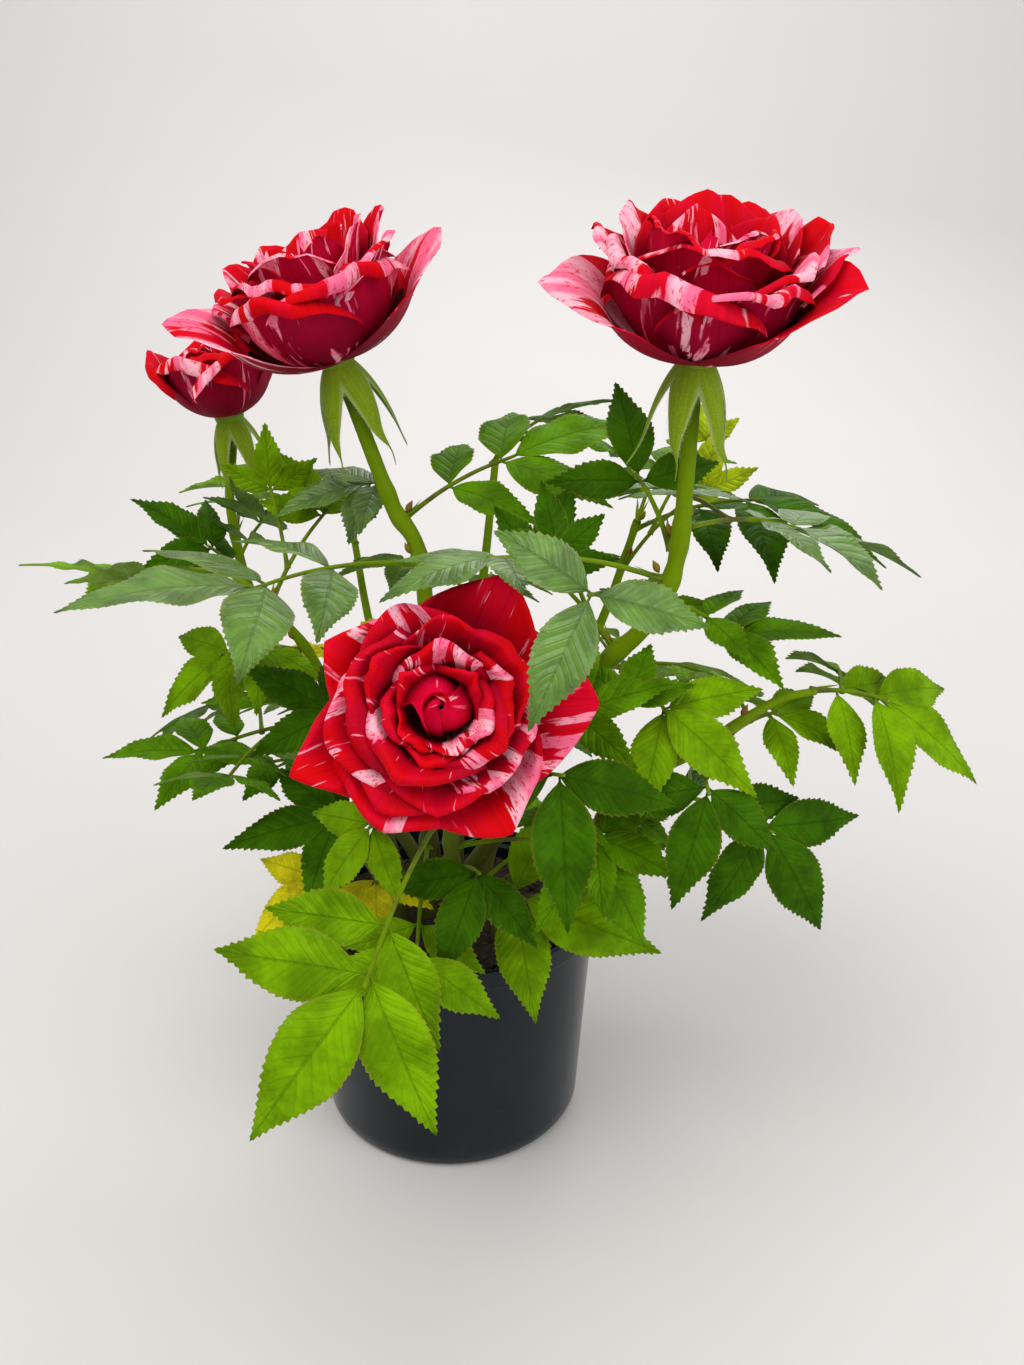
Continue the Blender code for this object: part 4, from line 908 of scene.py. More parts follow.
def plastic_material(base):
    """Dull moulded plastic: drawn out upright by its mould, specked, and dusty near the ground."""
    surface = Surface("pot_plastic", Specular_IOR_Level=0.24)
    place = surface.place()
    broad = surface.noise(place, 26.0, 3.0, 0.6)
    speck = surface.noise(place, 1500.0, 2.0, 0.6)
    upright = surface.node("ShaderNodeMapping", sockets={"Vector": place, "Scale": (1, 1, 0.08)})
    draw = surface.noise(upright, 420.0, 2.0)
    low = 1.0 - surface.step(surface.part(place, 2), 0.0, 0.022)
    dust = low * surface.step(broad, 0.35, 0.7) * 0.10
    tone = surface.mix(surface.step(broad, 0.3, 0.7), shade(base, 0.82), shade(base, 1.25))
    tone = surface.mix(dust + surface.step(speck, 0.66, 0.76) * 0.10, tone, DUST)
    return surface.finish(tone, draw * 0.10 + broad * 0.08 + dust * 0.3 + 0.13,
                          draw * 0.25 + speck * 0.5, depth=0.00012, strength=0.5)


def mix_material(base):
    """Potting mix: dark and light clods, with grains of a paler fibre."""
    surface = Surface("potting_mix", Roughness=0.95)
    place = surface.place()
    clods = surface.noise(place, 220.0, 4.0, 0.65)
    grit = surface.noise(place, 1100.0, 3.0, 0.7)
    tone = surface.mix(surface.step(clods, 0.3, 0.7), shade(base, 0.45), shade(base, 1.7))
    tone = surface.mix(surface.step(grit, 0.60, 0.72) * 0.5, tone, FIBRE)
    return surface.finish(tone, clods * 0.2 + 0.78, clods + grit * 0.6, 0.0008, 0.9)


def crumb_material(base):
    """Crumbs of the mix, of which those with a high number are chips of bark."""
    surface = Surface("mix_crumbs", Roughness=0.9)
    number = surface.number()
    grain = surface.noise(surface.place(), 900.0, 3.0, 0.7)
    tone = surface.mix(surface.step(number, 0.55, 0.95), base, BARK_CHIP)
    tone = surface.mix(surface.step(grain, 0.4, 0.7) * 0.5, tone, shade(base, 0.5))
    return surface.finish(tone, grain * 0.2 + 0.75, grain, depth=0.0004, strength=0.8)


def bark_material(green, ripe, depth):
    """Bark: ripe below and in patches, green above, with lengthwise ribs and pale pores."""
    surface = Surface("cane_bark", Specular_IOR_Level=0.05)
    place = surface.place()
    across, along = surface.growth()
    patches = surface.noise(place, 60.0, 4.0, 0.6)
    ribs = surface.noise(surface.point(across * 16.0, along * 26.0, 0.0), 1.0, 3.0, 0.6)
    pores = surface.noise(place, 800.0, 2.0, 0.6)
    low = 1.0 - surface.step(surface.part(place, 2), 0.085, 0.18)
    tone = surface.mix(surface.step(low + patches * 0.8 - 0.5, 0.1, 0.9), green, ripe)
    tone = surface.mix(surface.step(ribs, 0.5, 0.8) * 0.30, tone, shade(green, 1.5))
    tone = surface.mix(surface.step(pores, 0.64, 0.74) * 0.30, tone, BARK_PORE)
    return surface.finish(tone, patches * 0.25 + 0.32, ribs * 0.8 + pores * 0.5, depth)


def cloudy_material(name, roughness, cloud, first, second):
    """One colour that drifts into another with a noise, as of hair or paper."""
    surface = Surface(name, Roughness=roughness)
    return surface.finish(surface.mix(surface.noise(surface.place(), *cloud), first, second))


# ---- the rule of growth
def tree_of(name):
    """Bounding tree of a node of the frame, for tests of what touches it."""
    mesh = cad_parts[name].data
    points = np.empty(3 * len(mesh.vertices))
    mesh.vertices.foreach_get("co", points)
    corners = np.empty(3 * len(mesh.loop_triangles), np.int32)
    mesh.loop_triangles.foreach_get("vertices", corners)
    return BVHTree.FromPolygons(points.reshape(-1, 3).tolist(), corners.reshape(-1, 3).tolist())


def touches(shape, obstacles):
    """Whether a mesh given as (points, faces) crosses any of the bounding trees."""
    points, faces = shape
    tree = BVHTree.FromPolygons(points.reshape(-1, 3).tolist(), faces)
    return any(tree.overlap(obstacle) for obstacle in obstacles)


def cane_points(cane):
    """The points that a cane's curve passes through, from the soil up."""
    (x, y), *bends = cane.bends
    foot = SOIL_TOP + GAP
    return [(x, y, foot), (x, y, foot + CANE_STEP), *bends]


def cane_path(cane):
    """Points and radii of a cane as the frame has it, from the soil to its tip."""
    path = smooth_path(cane_points(cane), CANE_STEP)
    return path, np.linspace(cane.foot_radius, cane.tip_radius, len(path))


def cane_named(name):
    """The first of CANES with the name given."""
    return next(cane for cane in CANES if cane.name == name)


def stalk_shape(path, radii, spare=0.0):
    """A three-sided tube along a path, whose corners keep to the axes carried on from its foot."""
    tangents = unit(np.gradient(path, axis=0))
    facing = UPWARD if abs(tangents[0][2]) < NEARLY_UPRIGHT else FRONTWARD
    turn = (2 * math.pi * np.arange(TWIG_SIDES) / TWIG_SIDES)[:, None]
    rings = []
    for point, tangent, radius in zip(path, tangents, radii + spare):
        _, left, facing = axes(tangent, facing)
        rings.append(point + radius * (np.cos(turn) * left + np.sin(turn) * facing))
    rows = len(path)
    faces = grid_quads(rows, TWIG_SIDES, closed=True).tolist()
    foot, tip = range(TWIG_SIDES), range((rows - 1) * TWIG_SIDES, rows * TWIG_SIDES)
    return np.array(rings), faces + [list(foot)[::-1], list(tip)]


def leaf_width(share):
    """Half-width of a leaflet at a share of its length: the sine of pi times the share to the
    power of LEAF_SHOULDER, 1 at the widest."""
    return np.sin(math.pi * share ** LEAF_SHOULDER)


def midline(root, forward, up, length, share):
    """Points and upward directions along a leaflet, which droops in an arc of LEAF_DROOP."""
    turn = LEAF_DROOP * share[:, None]
    points = root + length * (forward * np.sin(turn) - up * (1 - np.cos(turn))) / LEAF_DROOP
    return points, unit(up * np.cos(turn) + forward * np.sin(turn))


def leaflet_shape(root, forward, left, up, length, spare=0.0):
    """The frame's leaflet: a flat top and a keel below it through four stations. spare widens and
    thickens it, to test for room."""
    share = np.array(BLADE_STATIONS)
    points, ups = midline(root, forward, up, length, share)
    points[-1] += spare * unit(points[-1] - points[-2])
    half = np.maximum(leaf_width(share[:-1]) * LEAF_HALF_WIDTH * length, ROOT_WIDTH) + spare
    thick = np.array([ROOT_THICKNESS, BLADE_THICKNESS, BLADE_THICKNESS]) + 2 * spare
    side, lift = left * half[:, None], ups[:-1] * thick[:, None]
    body = points[:-1]
    rings = np.stack([body - side + lift / 3, body - lift * 2 / 3, body + side + lift / 3], axis=1)
    tip = len(body) * 3
    faces = grid_quads(len(body), 3, closed=True).tolist()
    faces += [[2, 1, 0]] + [[tip - 3 + k, tip - 3 + (k + 1) % 3, tip] for k in range(3)]
    return np.vstack([rings.reshape(-1, 3), points[-1:]]), faces


def stalk_path(foot, forward, length):
    """A stalk that bows up a little: along forward, plus a parabola of TWIG_BOW of its length."""
    share = np.linspace(0, 1, TWIG_STEPS + 1)[:, None]
    _, _, up = axes(forward, UPWARD)
    return foot + forward * length * share + up * length * TWIG_BOW * 4 * share * (1 - share)


def spray_foot(spray, forward):
    """Where a spray's stalk starts, clear of its cane's skin."""
    path, radii = cane_path(cane_named(spray.cane))
    if spray.height >= 1:
        tangent = unit(path[-1] - path[-2])
        lean = np.linalg.norm(np.cross(forward, tangent))
        return path[-1] + tangent * (JOIN_GAP + TWIG_RADIUS * lean)
    index = int(np.searchsorted(path[:, 2], spray.height))
    share = (spray.height - path[index - 1][2]) / (path[index][2] - path[index - 1][2])
    centre = path[index - 1] + (path[index] - path[index - 1]) * share
    tangent = unit(path[index] - path[index - 1])
    outward = unit(forward - tangent * np.dot(forward, tangent))
    lean = abs(np.dot(forward, tangent))
    return centre + outward * (radii[index - 1] + JOIN_GAP + TWIG_RADIUS * lean)


def leaf_plan(foot, azimuth, elevation, spray, scale):
    """Stalk path and leaflets of one compound leaf: (root, forward, left, up, length) for each."""
    forward = direction(azimuth, elevation)
    path = stalk_path(foot, forward, spray.stalk * scale)
    lean = math.radians(spray.lean)
    facing = np.array([0.0, -math.sin(lean), math.cos(lean)])
    ahead, left, up = axes(direction(azimuth + spray.turn, elevation + spray.dip), facing)
    leaflets = [(path[-1] - unit(path[-1] - path[-2]) * ROOT_DEPTH, ahead, left, up,
                 spray.leaflet * scale)]
    spread = math.radians(spray.spread)
    length = np.linalg.norm(path[-1] - path[0])
    for pair in range((spray.count - 1) // 2):
        back = (PAIR_START + PAIR_STEP * pair) * spray.leaflet * scale
        share = max(1 - back / length, PAIR_LOWEST)
        root = between(share * TWIG_STEPS, range(TWIG_STEPS + 1), path)
        size = spray.leaflet * scale * SIDE_LEAFLET * SIDE_SHRINK ** pair
        for side in (1, -1):
            out = unit(ahead * math.cos(spread) + side * left * math.sin(spread))
            leaflets.append((root, out, np.cross(up, out), up, size))
    return path, leaflets


def turned_leaflet(leaflet, pitch, yaw):
    """The leaflet with its blade lifted by pitch and swung by yaw, in degrees."""
    root, forward, left, up, length = leaflet
    p, y = math.radians(pitch), math.radians(yaw)
    swung = forward * math.cos(y) + left * math.sin(y)
    raised = swung * math.cos(p) + up * math.sin(p)
    ahead, left, up = axes(unit(raised), up)
    return root, ahead, left, up, length


def fitted(leaflet, obstacles):
    """The leaflet, turned and if need be shortened until it has room, or None."""
    for scale in LEAF_SIZES:
        for pitch, yaw in FIT_TURNS:
            root, forward, left, up, length = turned_leaflet(leaflet, pitch, yaw)
            if not touches(leaflet_shape(root, forward, left, up, length * scale, LEAF_CLEARANCE),
                           obstacles):
                return root, forward, left, up, length * scale
    return None


def settled(spray, trees):
    """The spray's azimuth, elevation, stalk, radii and leaflets, swung if its stalk needs room."""
    others = [tree for name, tree in trees.items() if name != spray.cane]
    for rise, swing in STALK_TURNS:
        azimuth, elevation = spray.azimuth + swing, spray.elevation + rise
        foot = spray_foot(spray, direction(azimuth, elevation))
        path, leaflets = leaf_plan(foot, azimuth, elevation, spray, 1.0)
        radii = np.linspace(TWIG_RADIUS, TWIG_TIP_RADIUS, len(path))
        if not touches(stalk_shape(path, radii, LEAF_CLEARANCE), others):
            return azimuth, elevation, path, radii, leaflets
    raise ValueError(f"{spray.name} has no room for its stalk")


def grow_spray(spray, trees):
    """Paths of a spray's stalks, and its leaflets that have room among what the trees hold."""
    obstacles = list(trees.values())
    azimuth, elevation, path, radii, leaflets = settled(spray, trees)
    stalks = [path]
    for index in range(spray.more):
        start = path[1] + (path[2] - path[1]) * index / 2
        swing = MORE_TURN if index % 2 == 0 else -MORE_TURN
        further, more = leaf_plan(start, azimuth + swing, elevation + MORE_RISE, spray, MORE_SCALE)
        if not touches(stalk_shape(further, radii, LEAF_CLEARANCE), obstacles):
            stalks.append(further)
            leaflets += more
    placed = [fitted(leaflet, obstacles) for leaflet in leaflets]
    return stalks, [leaflet for leaflet in placed if leaflet is not None]


# ---- leaves
def add_leaflet(skin, rng, root, forward, left, up, length):
    """A leaflet. Its midline droops in an arc; half its width is leaf_width, slimmer than the
    frame's and more so towards the tip, and its margin steps out and in as teeth that lean to the
    tip. From the midline the blade rises by a fold angle, falls again with the cube of the way
    out, and waves with the sine of the way along. It twists about its midline as it goes."""
    teeth = max(6, round(length / TOOTH_STEP))
    rows = 2 * teeth + 2
    share = np.linspace(0, 1, rows)[:, None]
    across = np.array(LEAF_COLUMNS)[None]
    peak = (np.arange(rows) % 2 == 1)[:, None] * (np.abs(across) == 1)
    peak = peak * swell(share, 0.08, 0.2) * rng.uniform(*TOOTH_UNEVENNESS, peak.shape)
    along = np.clip(share + peak * TOOTH_LEAN / rows, 0, 1)
    along = along - np.abs(across) * LEAF_SWEEP * np.sin(math.pi * share) ** 2
    blade = np.clip((share - STALKLET) / (1 - STALKLET), 0, 1)
    taper = LEAF_SLIMNESS * (1 - LEAF_TIP_TAPER * swell(share, 0.55, 1.0))
    half = np.maximum(leaf_width(blade) * LEAF_HALF_WIDTH * length * taper, ROOT_WIDTH)
    half[-1] = 0
    half = half + peak * min(TOOTH_DEPTH, TOOTH_SHARE * length) * swell(1 - share, 0.0, 0.12)
    offset = across * half
    fold, curl, twist, waves = (rng.uniform(low, high) for low, high in
                                (LEAF_FOLD, LEAF_CURL, LEAF_TWIST, LEAF_WAVES))
    phase = rng.uniform(0, 2 * math.pi, 2)
    lift = (np.abs(offset) * math.tan(math.radians(fold)) - curl * half * np.abs(across) ** 3
            + WAVE_HEIGHT * length * across ** 2 * np.sin(math.pi * share)
            * np.sin(2 * math.pi * waves * share + np.where(across > 0, phase[0], phase[1])))
    turn = np.radians(twist * share)
    offset, lift = (offset * np.cos(turn) - lift * np.sin(turn),
                    offset * np.sin(turn) + lift * np.cos(turn))
    points, ups = midline(root, forward, up, length, along.ravel())
    points, ups = points.reshape(*along.shape, 3), ups.reshape(*along.shape, 3)
    grid = points - left * offset[..., None] + ups * lift[..., None]
    keel = (across == 0) * MIDRIB_DEPTH * (1 - 0.7 * share)
    skin.sheet(grid, LEAF_THICKNESS, grid_map(across / 2 + 0.5, along), under=keel,
               number=rng.random())


def add_stalk(skin, path, foot_depth, foot_radius, number):
    """A leaf stalk: a tube on the smooth curve through its path, sunk by foot_depth at its foot.
    Its radius falls evenly from foot to tip, plus a flare at the foot that dies away as exp(-x)."""
    start = path[0] - unit(path[1] - path[0]) * foot_depth
    curve = smooth_path(np.vstack([start[None], path]), STALK_STEP)
    run = np.linalg.norm(curve - curve[0], axis=1)
    flare = 1 + STALK_FLARE * np.exp(-run / STALK_FLARE_LENGTH)
    radii = np.linspace(foot_radius, STALK_TIP_RADIUS, len(curve)) * flare
    skin.tube(curve, radii, STALK_SIDES, number=number)
    return curve


def add_stipules(skin, curve, rng):
    """Two narrow wings along the foot of a stalk, each ending in a free point that turns away. The
    width of a wing is the square root of sin(pi s), and it leaves the stalk with the cube of s."""
    count = min(len(curve) - 1, STIPULE_STEPS)
    spine = curve[1:count + 1]
    tangents, _, _ = across_frames(spine)
    sides = unit(np.cross(tangents, UPWARD))
    ups = np.cross(sides, tangents)
    share = np.linspace(0, 1, len(spine))[:, None]
    across = np.linspace(0, 1, 3)[None]
    width = STIPULE_WIDTH * np.sqrt(np.sin(math.pi * np.clip(share, 0.02, 0.98)))
    away = STIPULE_WIDTH * STIPULE_AWAY * share ** 3
    for side in (1, -1):
        out = STIPULE_GAP + (across * width + away) * (1 - 0.2 * across)
        grid = (spine[:, None] + side * sides[:, None] * out[..., None]
                + ups[:, None] * (0.35 * out + 0.0003 * rng.random())[..., None])
        skin.sheet(grid[:, ::-side], STIPULE_THICKNESS, grid_map(across, share), (FACE, FACE))


# ---- canes
def cane_curve(cane):
    """The cane's curve, sunk into the soil at its foot and carried up to its tip, in fine steps."""
    points = cane_points(cane)
    foot = np.array(points[0]) - UPWARD * CANE_SINK
    return smooth_path([foot, *points], CANE_FINE_STEP)


def add_cane(skin, cane, rng):
    """A cane: its radius runs evenly from foot to tip, swollen at each leaf as exp(-(x/w)^2) and
    at the foot as exp(-x/w). A sum of cosines round it, which drift along it, makes low ribs, and
    it has fine knobs."""
    path = cane_curve(cane)
    run = run_of(path)
    share = np.clip((run - CANE_SINK) / (run[-1] - CANE_SINK), 0, 1)
    radius = cane.foot_radius + (cane.tip_radius - cane.foot_radius) * share
    above = np.maximum(run - CANE_SINK, 0)
    radius = radius * (1 + CANE_FLARE * np.exp(-above / CANE_FLARE_LENGTH))
    for spray in SPRAYS:
        if spray.cane == cane.name and spray.height < 1:
            past = (path[:, 2] - spray.height) / NODE_LENGTH
            radius = radius * (1 + NODE_SWELLING * np.exp(-past ** 2))
    turn = around(CANE_SIDES)[None]
    ribs = np.zeros((len(path), CANE_SIDES))
    for order in CANE_RIBS:
        drift = rng.uniform(-RIB_DRIFT, RIB_DRIFT) * run[:, None] + rng.uniform(0, 2 * math.pi)
        ribs += np.cos(order * turn + drift) * rng.uniform(0.3, 1.0) / order
    knobs = rng.normal(0, KNOB_HEIGHT, ribs.shape)
    skin.tube(path, radius[:, None] * (1 + RIB_HEIGHT * ribs + knobs), CANE_SIDES)


def add_bud(skin, centre, outward):
    """A small bud in the angle of a leaf: an egg whose radius is sin(pi s)^0.8 (1.15 - 0.6 s)."""
    share = np.linspace(0.0, 1.0, BUD_ROWS)
    heading = unit(UPWARD + outward * BUD_LEAN)
    path = centre + heading * (share[:, None] * BUD_LENGTH)
    radii = BUD_RADIUS * np.sin(math.pi * np.clip(share, 0.03, 0.97)) ** 0.8 * (1.15 - 0.6 * share)
    skin.tube(path, radii, BUD_SIDES)


def add_hairs(skin, bases, headings, lengths):
    """Fine hairs: each a three-sided spike from its base to its point, all in one set of arrays."""
    fixed = np.where(np.abs(headings[:, 2:]) < 0.8, [[0, 0, 1.0]], [[1.0, 0, 0]])
    first = unit(np.cross(headings, fixed))
    second = np.cross(headings, first)
    turn = around(3)[:, None]
    ring = first[:, None] * np.cos(turn) + second[:, None] * np.sin(turn)
    ring = bases[:, None] + HAIR_RADIUS * ring
    tips = bases + headings * lengths[:, None]
    points = np.concatenate([ring, tips[:, None]], axis=1)
    index = 4 * np.arange(len(bases))[:, None, None]
    faces = (index + np.array([[[0, 1, 3], [1, 2, 3], [2, 0, 3], [0, 2, 1]]])).reshape(-1, 3)
    skin.add(points, [(faces, FACE)], np.zeros((len(bases) * 4, 2)))


# ---- blooms
def bloom_frame(bloom):
    """The bloom's foot on its cane, the cane's direction there, the disc's centre and its axes."""
    path, radii = cane_path(cane_named(bloom.cane))
    heading = unit(path[-1] - path[-2])
    foot = path[-1] + heading * GAP
    axis = unit(bloom.axis)
    origin = foot + (heading + axis) * HIP_LENGTH / 2
    right = unit(np.array([1.0, 0, 0]) - axis * axis[0])
    return foot, heading, origin, (axis, right, np.cross(axis, right)), radii[-1]


def petal_midline(rise, crest, reflex):
    """Distances out from the petal's root and up from the disc along a midline of unit length,
    whose slope runs evenly from rise at its root to crest at its knee and reflex at its end."""
    share = np.linspace(0, 1, PETAL_SAMPLES)
    angle = np.radians(np.interp(share, (0, PETAL_KNEE, 1), (rise, crest, reflex)))
    step = 1 / (PETAL_SAMPLES - 1)
    out, up = (np.concatenate([[0], np.cumsum(turned(angle[:-1])) * step])
               for turned in (np.cos, np.sin))
    return share, out, up


def bowed(reach_out, reach_up, angles):
    """Angles and length of a midline with the bend of the given angles, all turned by the same
    amount and scaled so that it ends reach_out from its root and reach_up above it."""
    _, out, up = petal_midline(*angles)
    settle = math.degrees(math.atan2(reach_up, reach_out) - math.atan2(up[-1], out[-1]))
    length = math.hypot(reach_out, reach_up) / math.hypot(out[-1], up[-1])
    return [angle + settle for angle in angles], length


def fold_back(points, tangent, normal, distance, radius, most):
    """Folds a margin back: a point at distance d past the line where the fold starts goes round a
    cylinder behind the petal, through the angle a = d / r but at most most, and then straight on by
    what is left of d. It moves by r sin a + rest cos a along the tangent instead of d, and by
    r (1 - cos a) + rest sin a away from the face."""
    d = np.maximum(distance, 0)
    a = np.minimum(d / radius, most)
    rest = d - radius * a
    along = radius * np.sin(a) + rest * np.cos(a)
    away = radius * (1 - np.cos(a)) + rest * np.sin(a)
    return points - tangent * (d - along)[..., None] - normal * away[..., None]


def add_petal(skin, rng, bloom_axes, origin, guard, wrap, bowl, cells, lip, ruffle, point, lean,
              face_slot=FACE):
    """A petal on a midline that leaves its bloom's disc at rise, steepens to crest and turns back
    to reflex; bowl makes it leave lower and crest steeper, without moving its end. Its half-width
    opens from the claw as a sine and narrows with the square beyond its widest. Its end is cut
    back at the sides by a power of the way across, plus point times it. wrap bends it round the
    bloom's axis, and lean lifts one side of it with the square of the way along. Its face ripples
    as sines across and along it, which grow with the square of the way along, and its side and
    end margins fold back as lip says: their widths, the radius of the fold and its angle."""
    axis, right, ahead = bloom_axes
    azimuth, rise, crest, reflex, length, half_width, blush = guard
    side_fold, end_fold, radius_of_fold, most = lip
    _, out, up = petal_midline(rise, crest, reflex)
    reach_out, reach_up = out[-1] * length, up[-1] * length
    (rise, crest, reflex), length = bowed(reach_out, reach_up,
                                          (rise - BOWL * bowl, crest + BOWL_CREST * bowl, reflex))
    length += END_SPARE * end_fold
    half_width += SIDE_SPARE * side_fold
    share, out, up = petal_midline(rise, crest, reflex)
    columns, rows = cells
    across = np.sin(np.linspace(1, -1, columns + 1) * SIDE_CROWDING)[None]
    across = across / math.sin(SIDE_CROWDING)
    row = 1 - (1 - np.linspace(0, 1, rows + 1)[:, None]) ** END_CROWDING
    notch = PETAL_SHOULDER * np.abs(across) ** PETAL_CORNER + point * np.abs(across)
    reach = row * (1 - notch)
    width = np.where(reach < PETAL_WIDEST,
                     FINE_CLAW + (1 - FINE_CLAW) * np.sin(math.pi / 2 * reach / PETAL_WIDEST),
                     1 - PETAL_TAPER * ((reach - PETAL_WIDEST) / (1 - PETAL_WIDEST)) ** 2)
    offset = across * half_width * width
    radius = PETAL_ROOT_RADIUS + np.interp(reach, share, out * length)
    cup = PETAL_CUP * half_width * across ** 2 * np.sin(math.pi * reach)
    height = np.interp(reach, share, up * length) + cup + lean * offset * reach ** 2
    wrap = wrap + (ROOT_WRAP - wrap) * (1 - swell(reach, 0.05, 0.75))
    turn = math.radians(azimuth) + wrap * offset / np.maximum(radius, PETAL_ROOT_RADIUS * 2)
    flat = (1 - wrap) * offset
    points = (origin + axis * height[..., None]
              + right * (radius * np.cos(turn) - flat * np.sin(turn))[..., None]
              + ahead * (radius * np.sin(turn) + flat * np.cos(turn))[..., None])
    side, forth, face = grid_axes(points)
    phase = rng.uniform(0, 2 * math.pi, 3)
    ripple = (np.sin(2.2 * math.pi * across + phase[0])
              + 0.6 * np.sin(4.1 * math.pi * across + phase[1])
              + 0.5 * np.sin(2.6 * math.pi * reach + phase[2]))
    points = points + face * (ruffle * ripple * reach ** 2)[..., None]
    sides = np.where(across > 0, *(side_fold * rng.uniform(0.6, 1.4, 2)))
    past = np.abs(offset) - (half_width * width - sides * swell(reach, 0.35, 0.95))
    points = fold_back(points, side * np.sign(across)[..., None], face, past, radius_of_fold,
                       most * 0.8)
    uneven = 1 + 0.30 * np.sin(2.4 * across + phase[0])
    past = (row - 1) * length + end_fold * uneven * (1 - 0.35 * np.abs(across))
    points = fold_back(points, forth, face, past, radius_of_fold * 1.15, most)
    skin.sheet(points, PETAL_THICKNESS, grid_map(across / 2 + 0.5, reach), (face_slot, BACK),
               number=rng.random(), blush=blush)


def add_furl(skin, rng, bloom_axes, origin, start, radius, height, lip):
    """A furled inner petal, closed over the heart like a bud: at a share t of its turn and a height
    share u its distance from the axis is radius (0.3 + 0.7 t) sin(pi (0.16 + 0.83 u)), and its free
    margins fold out by lip."""
    axis, right, ahead = bloom_axes
    columns, rows = FURL_CELLS
    t = np.linspace(1, 0, columns + 1)[None]
    u = np.linspace(0, 1, rows + 1)[:, None]
    turn = math.radians(start) + math.radians(FURL_SWEEP) * t
    crown = np.sin(math.pi * (0.08 + 0.84 * t)) ** 0.45
    bulge = np.sin(math.pi * (0.16 + 0.83 * u))
    out = radius * (0.30 + 0.70 * t) * bulge * (1 + 0.06 * np.sin(3 * turn + u * 4))
    lift = RECEPTACLE_TOP / 2 + (height - RECEPTACLE_TOP / 2) * u * (0.80 + 0.20 * crown)
    points = (origin + axis * lift[..., None] + right * (out * np.cos(turn))[..., None]
              + ahead * (out * np.sin(turn))[..., None])
    side, forth, face = grid_axes(points)
    past = (u - 1) * height + lip * (0.4 + 0.6 * t)
    points = fold_back(points, forth, face, past, FOLD_RADIUS, math.pi / 2)
    past = (t - 1) * radius * math.radians(FURL_SWEEP) * 0.8 + lip
    points = fold_back(points, side, face, past * swell(u, 0.3, 0.9), FOLD_RADIUS, math.pi / 2)
    skin.sheet(points, PETAL_THICKNESS, grid_map(t, u), (FACE, HEART), number=rng.random(),
               blush=rng.uniform(0, 0.3))


def add_inner_petal(skin, rng, bloom_axes, origin, bloom, petal):
    """A petal whose end stands on a circle and at a height that are shares of the bloom's crown.
    Its slope starts a little under the straight line there, steepens, and falls back at the end."""
    reach = bloom.crown_radius * petal.circle - PETAL_ROOT_RADIUS
    top = bloom.tall * petal.height
    slope = math.degrees(math.atan2(top, reach))
    bend, length = bowed(reach, top, (slope - 6, slope + 12, slope - petal.fall))
    half = petal.half_width * bloom.crown_radius
    guard = (petal.azimuth, *bend, length, half, petal.blush)
    lip = (petal.lip * LIP_SIDE * half, petal.lip * LIP_WIDTH, FOLD_RADIUS * rng.uniform(0.6, 1.1),
           rng.uniform(*LIP_TURN))
    add_petal(skin, rng, bloom_axes, origin, guard, WHORL_WRAP, INNER_BOWL, WHORL_CELLS, lip,
              INNER_RUFFLE * half, rng.uniform(*INNER_POINT), petal.lean, INNER)


def whorl_petals(rng, start):
    """The petals of a bloom that has no inner petals listed: whorl by whorl, evenly round each
    circle but for a seeded unevenness."""
    for whorl in WHORLS:
        for index in range(whorl.petals):
            yield Petal(start + 360 * index / whorl.petals + rng.uniform(-14, 14),
                        whorl.radius * rng.uniform(0.90, 1.08),
                        whorl.height * rng.uniform(0.84, 1.05),
                        math.pi * whorl.radius / whorl.petals * whorl.overlap,
                        whorl.fall + rng.uniform(0, 16), whorl.lip * rng.uniform(0.6, 1.5),
                        rng.random() ** 1.3, rng.uniform(-0.30, 0.30))
        start += 180 / whorl.petals + rng.uniform(-12, 12)


def add_bloom_petals(skin, bloom, rng):
    """All petals of a bloom: its guards, then those that stand steeper and closer, then the furled
    ones at its heart. A guard to one side of the bloom leans so that its face looks forward."""
    _, _, origin, bloom_axes, _ = bloom_frame(bloom)
    for guard in bloom.guards:
        kind = WING if guard.length > WING_LENGTH else PLAIN_GUARD
        lip = (kind.side_fold * guard.half_width, kind.end_fold * rng.uniform(0.6, 1.2),
               FOLD_RADIUS, rng.uniform(*LIP_TURN))
        add_petal(skin, rng, bloom_axes, origin,
                  guard._replace(half_width=guard.half_width * kind.widened,
                                 length=guard.length * kind.lengthened,
                                 reflex=guard.reflex - kind.droop),
                  GUARD_WRAP, 1.0, GUARD_CELLS, lip, GUARD_RUFFLE, rng.uniform(*kind.point),
                  kind.lean * math.cos(math.radians(guard.azimuth)))
    start = rng.uniform(0, 360)
    for petal in INNER_PETALS.get(bloom.name) or whorl_petals(rng, start):
        add_inner_petal(skin, rng, bloom_axes, origin, bloom, petal)
    for index, share in enumerate(FURLS):
        add_furl(skin, rng, bloom_axes, origin, start + FURL_TURN * index,
                 bloom.crown_radius * share, bloom.tall * (bloom.heart - FURL_STEP * index),
                 FURL_LIP * index)


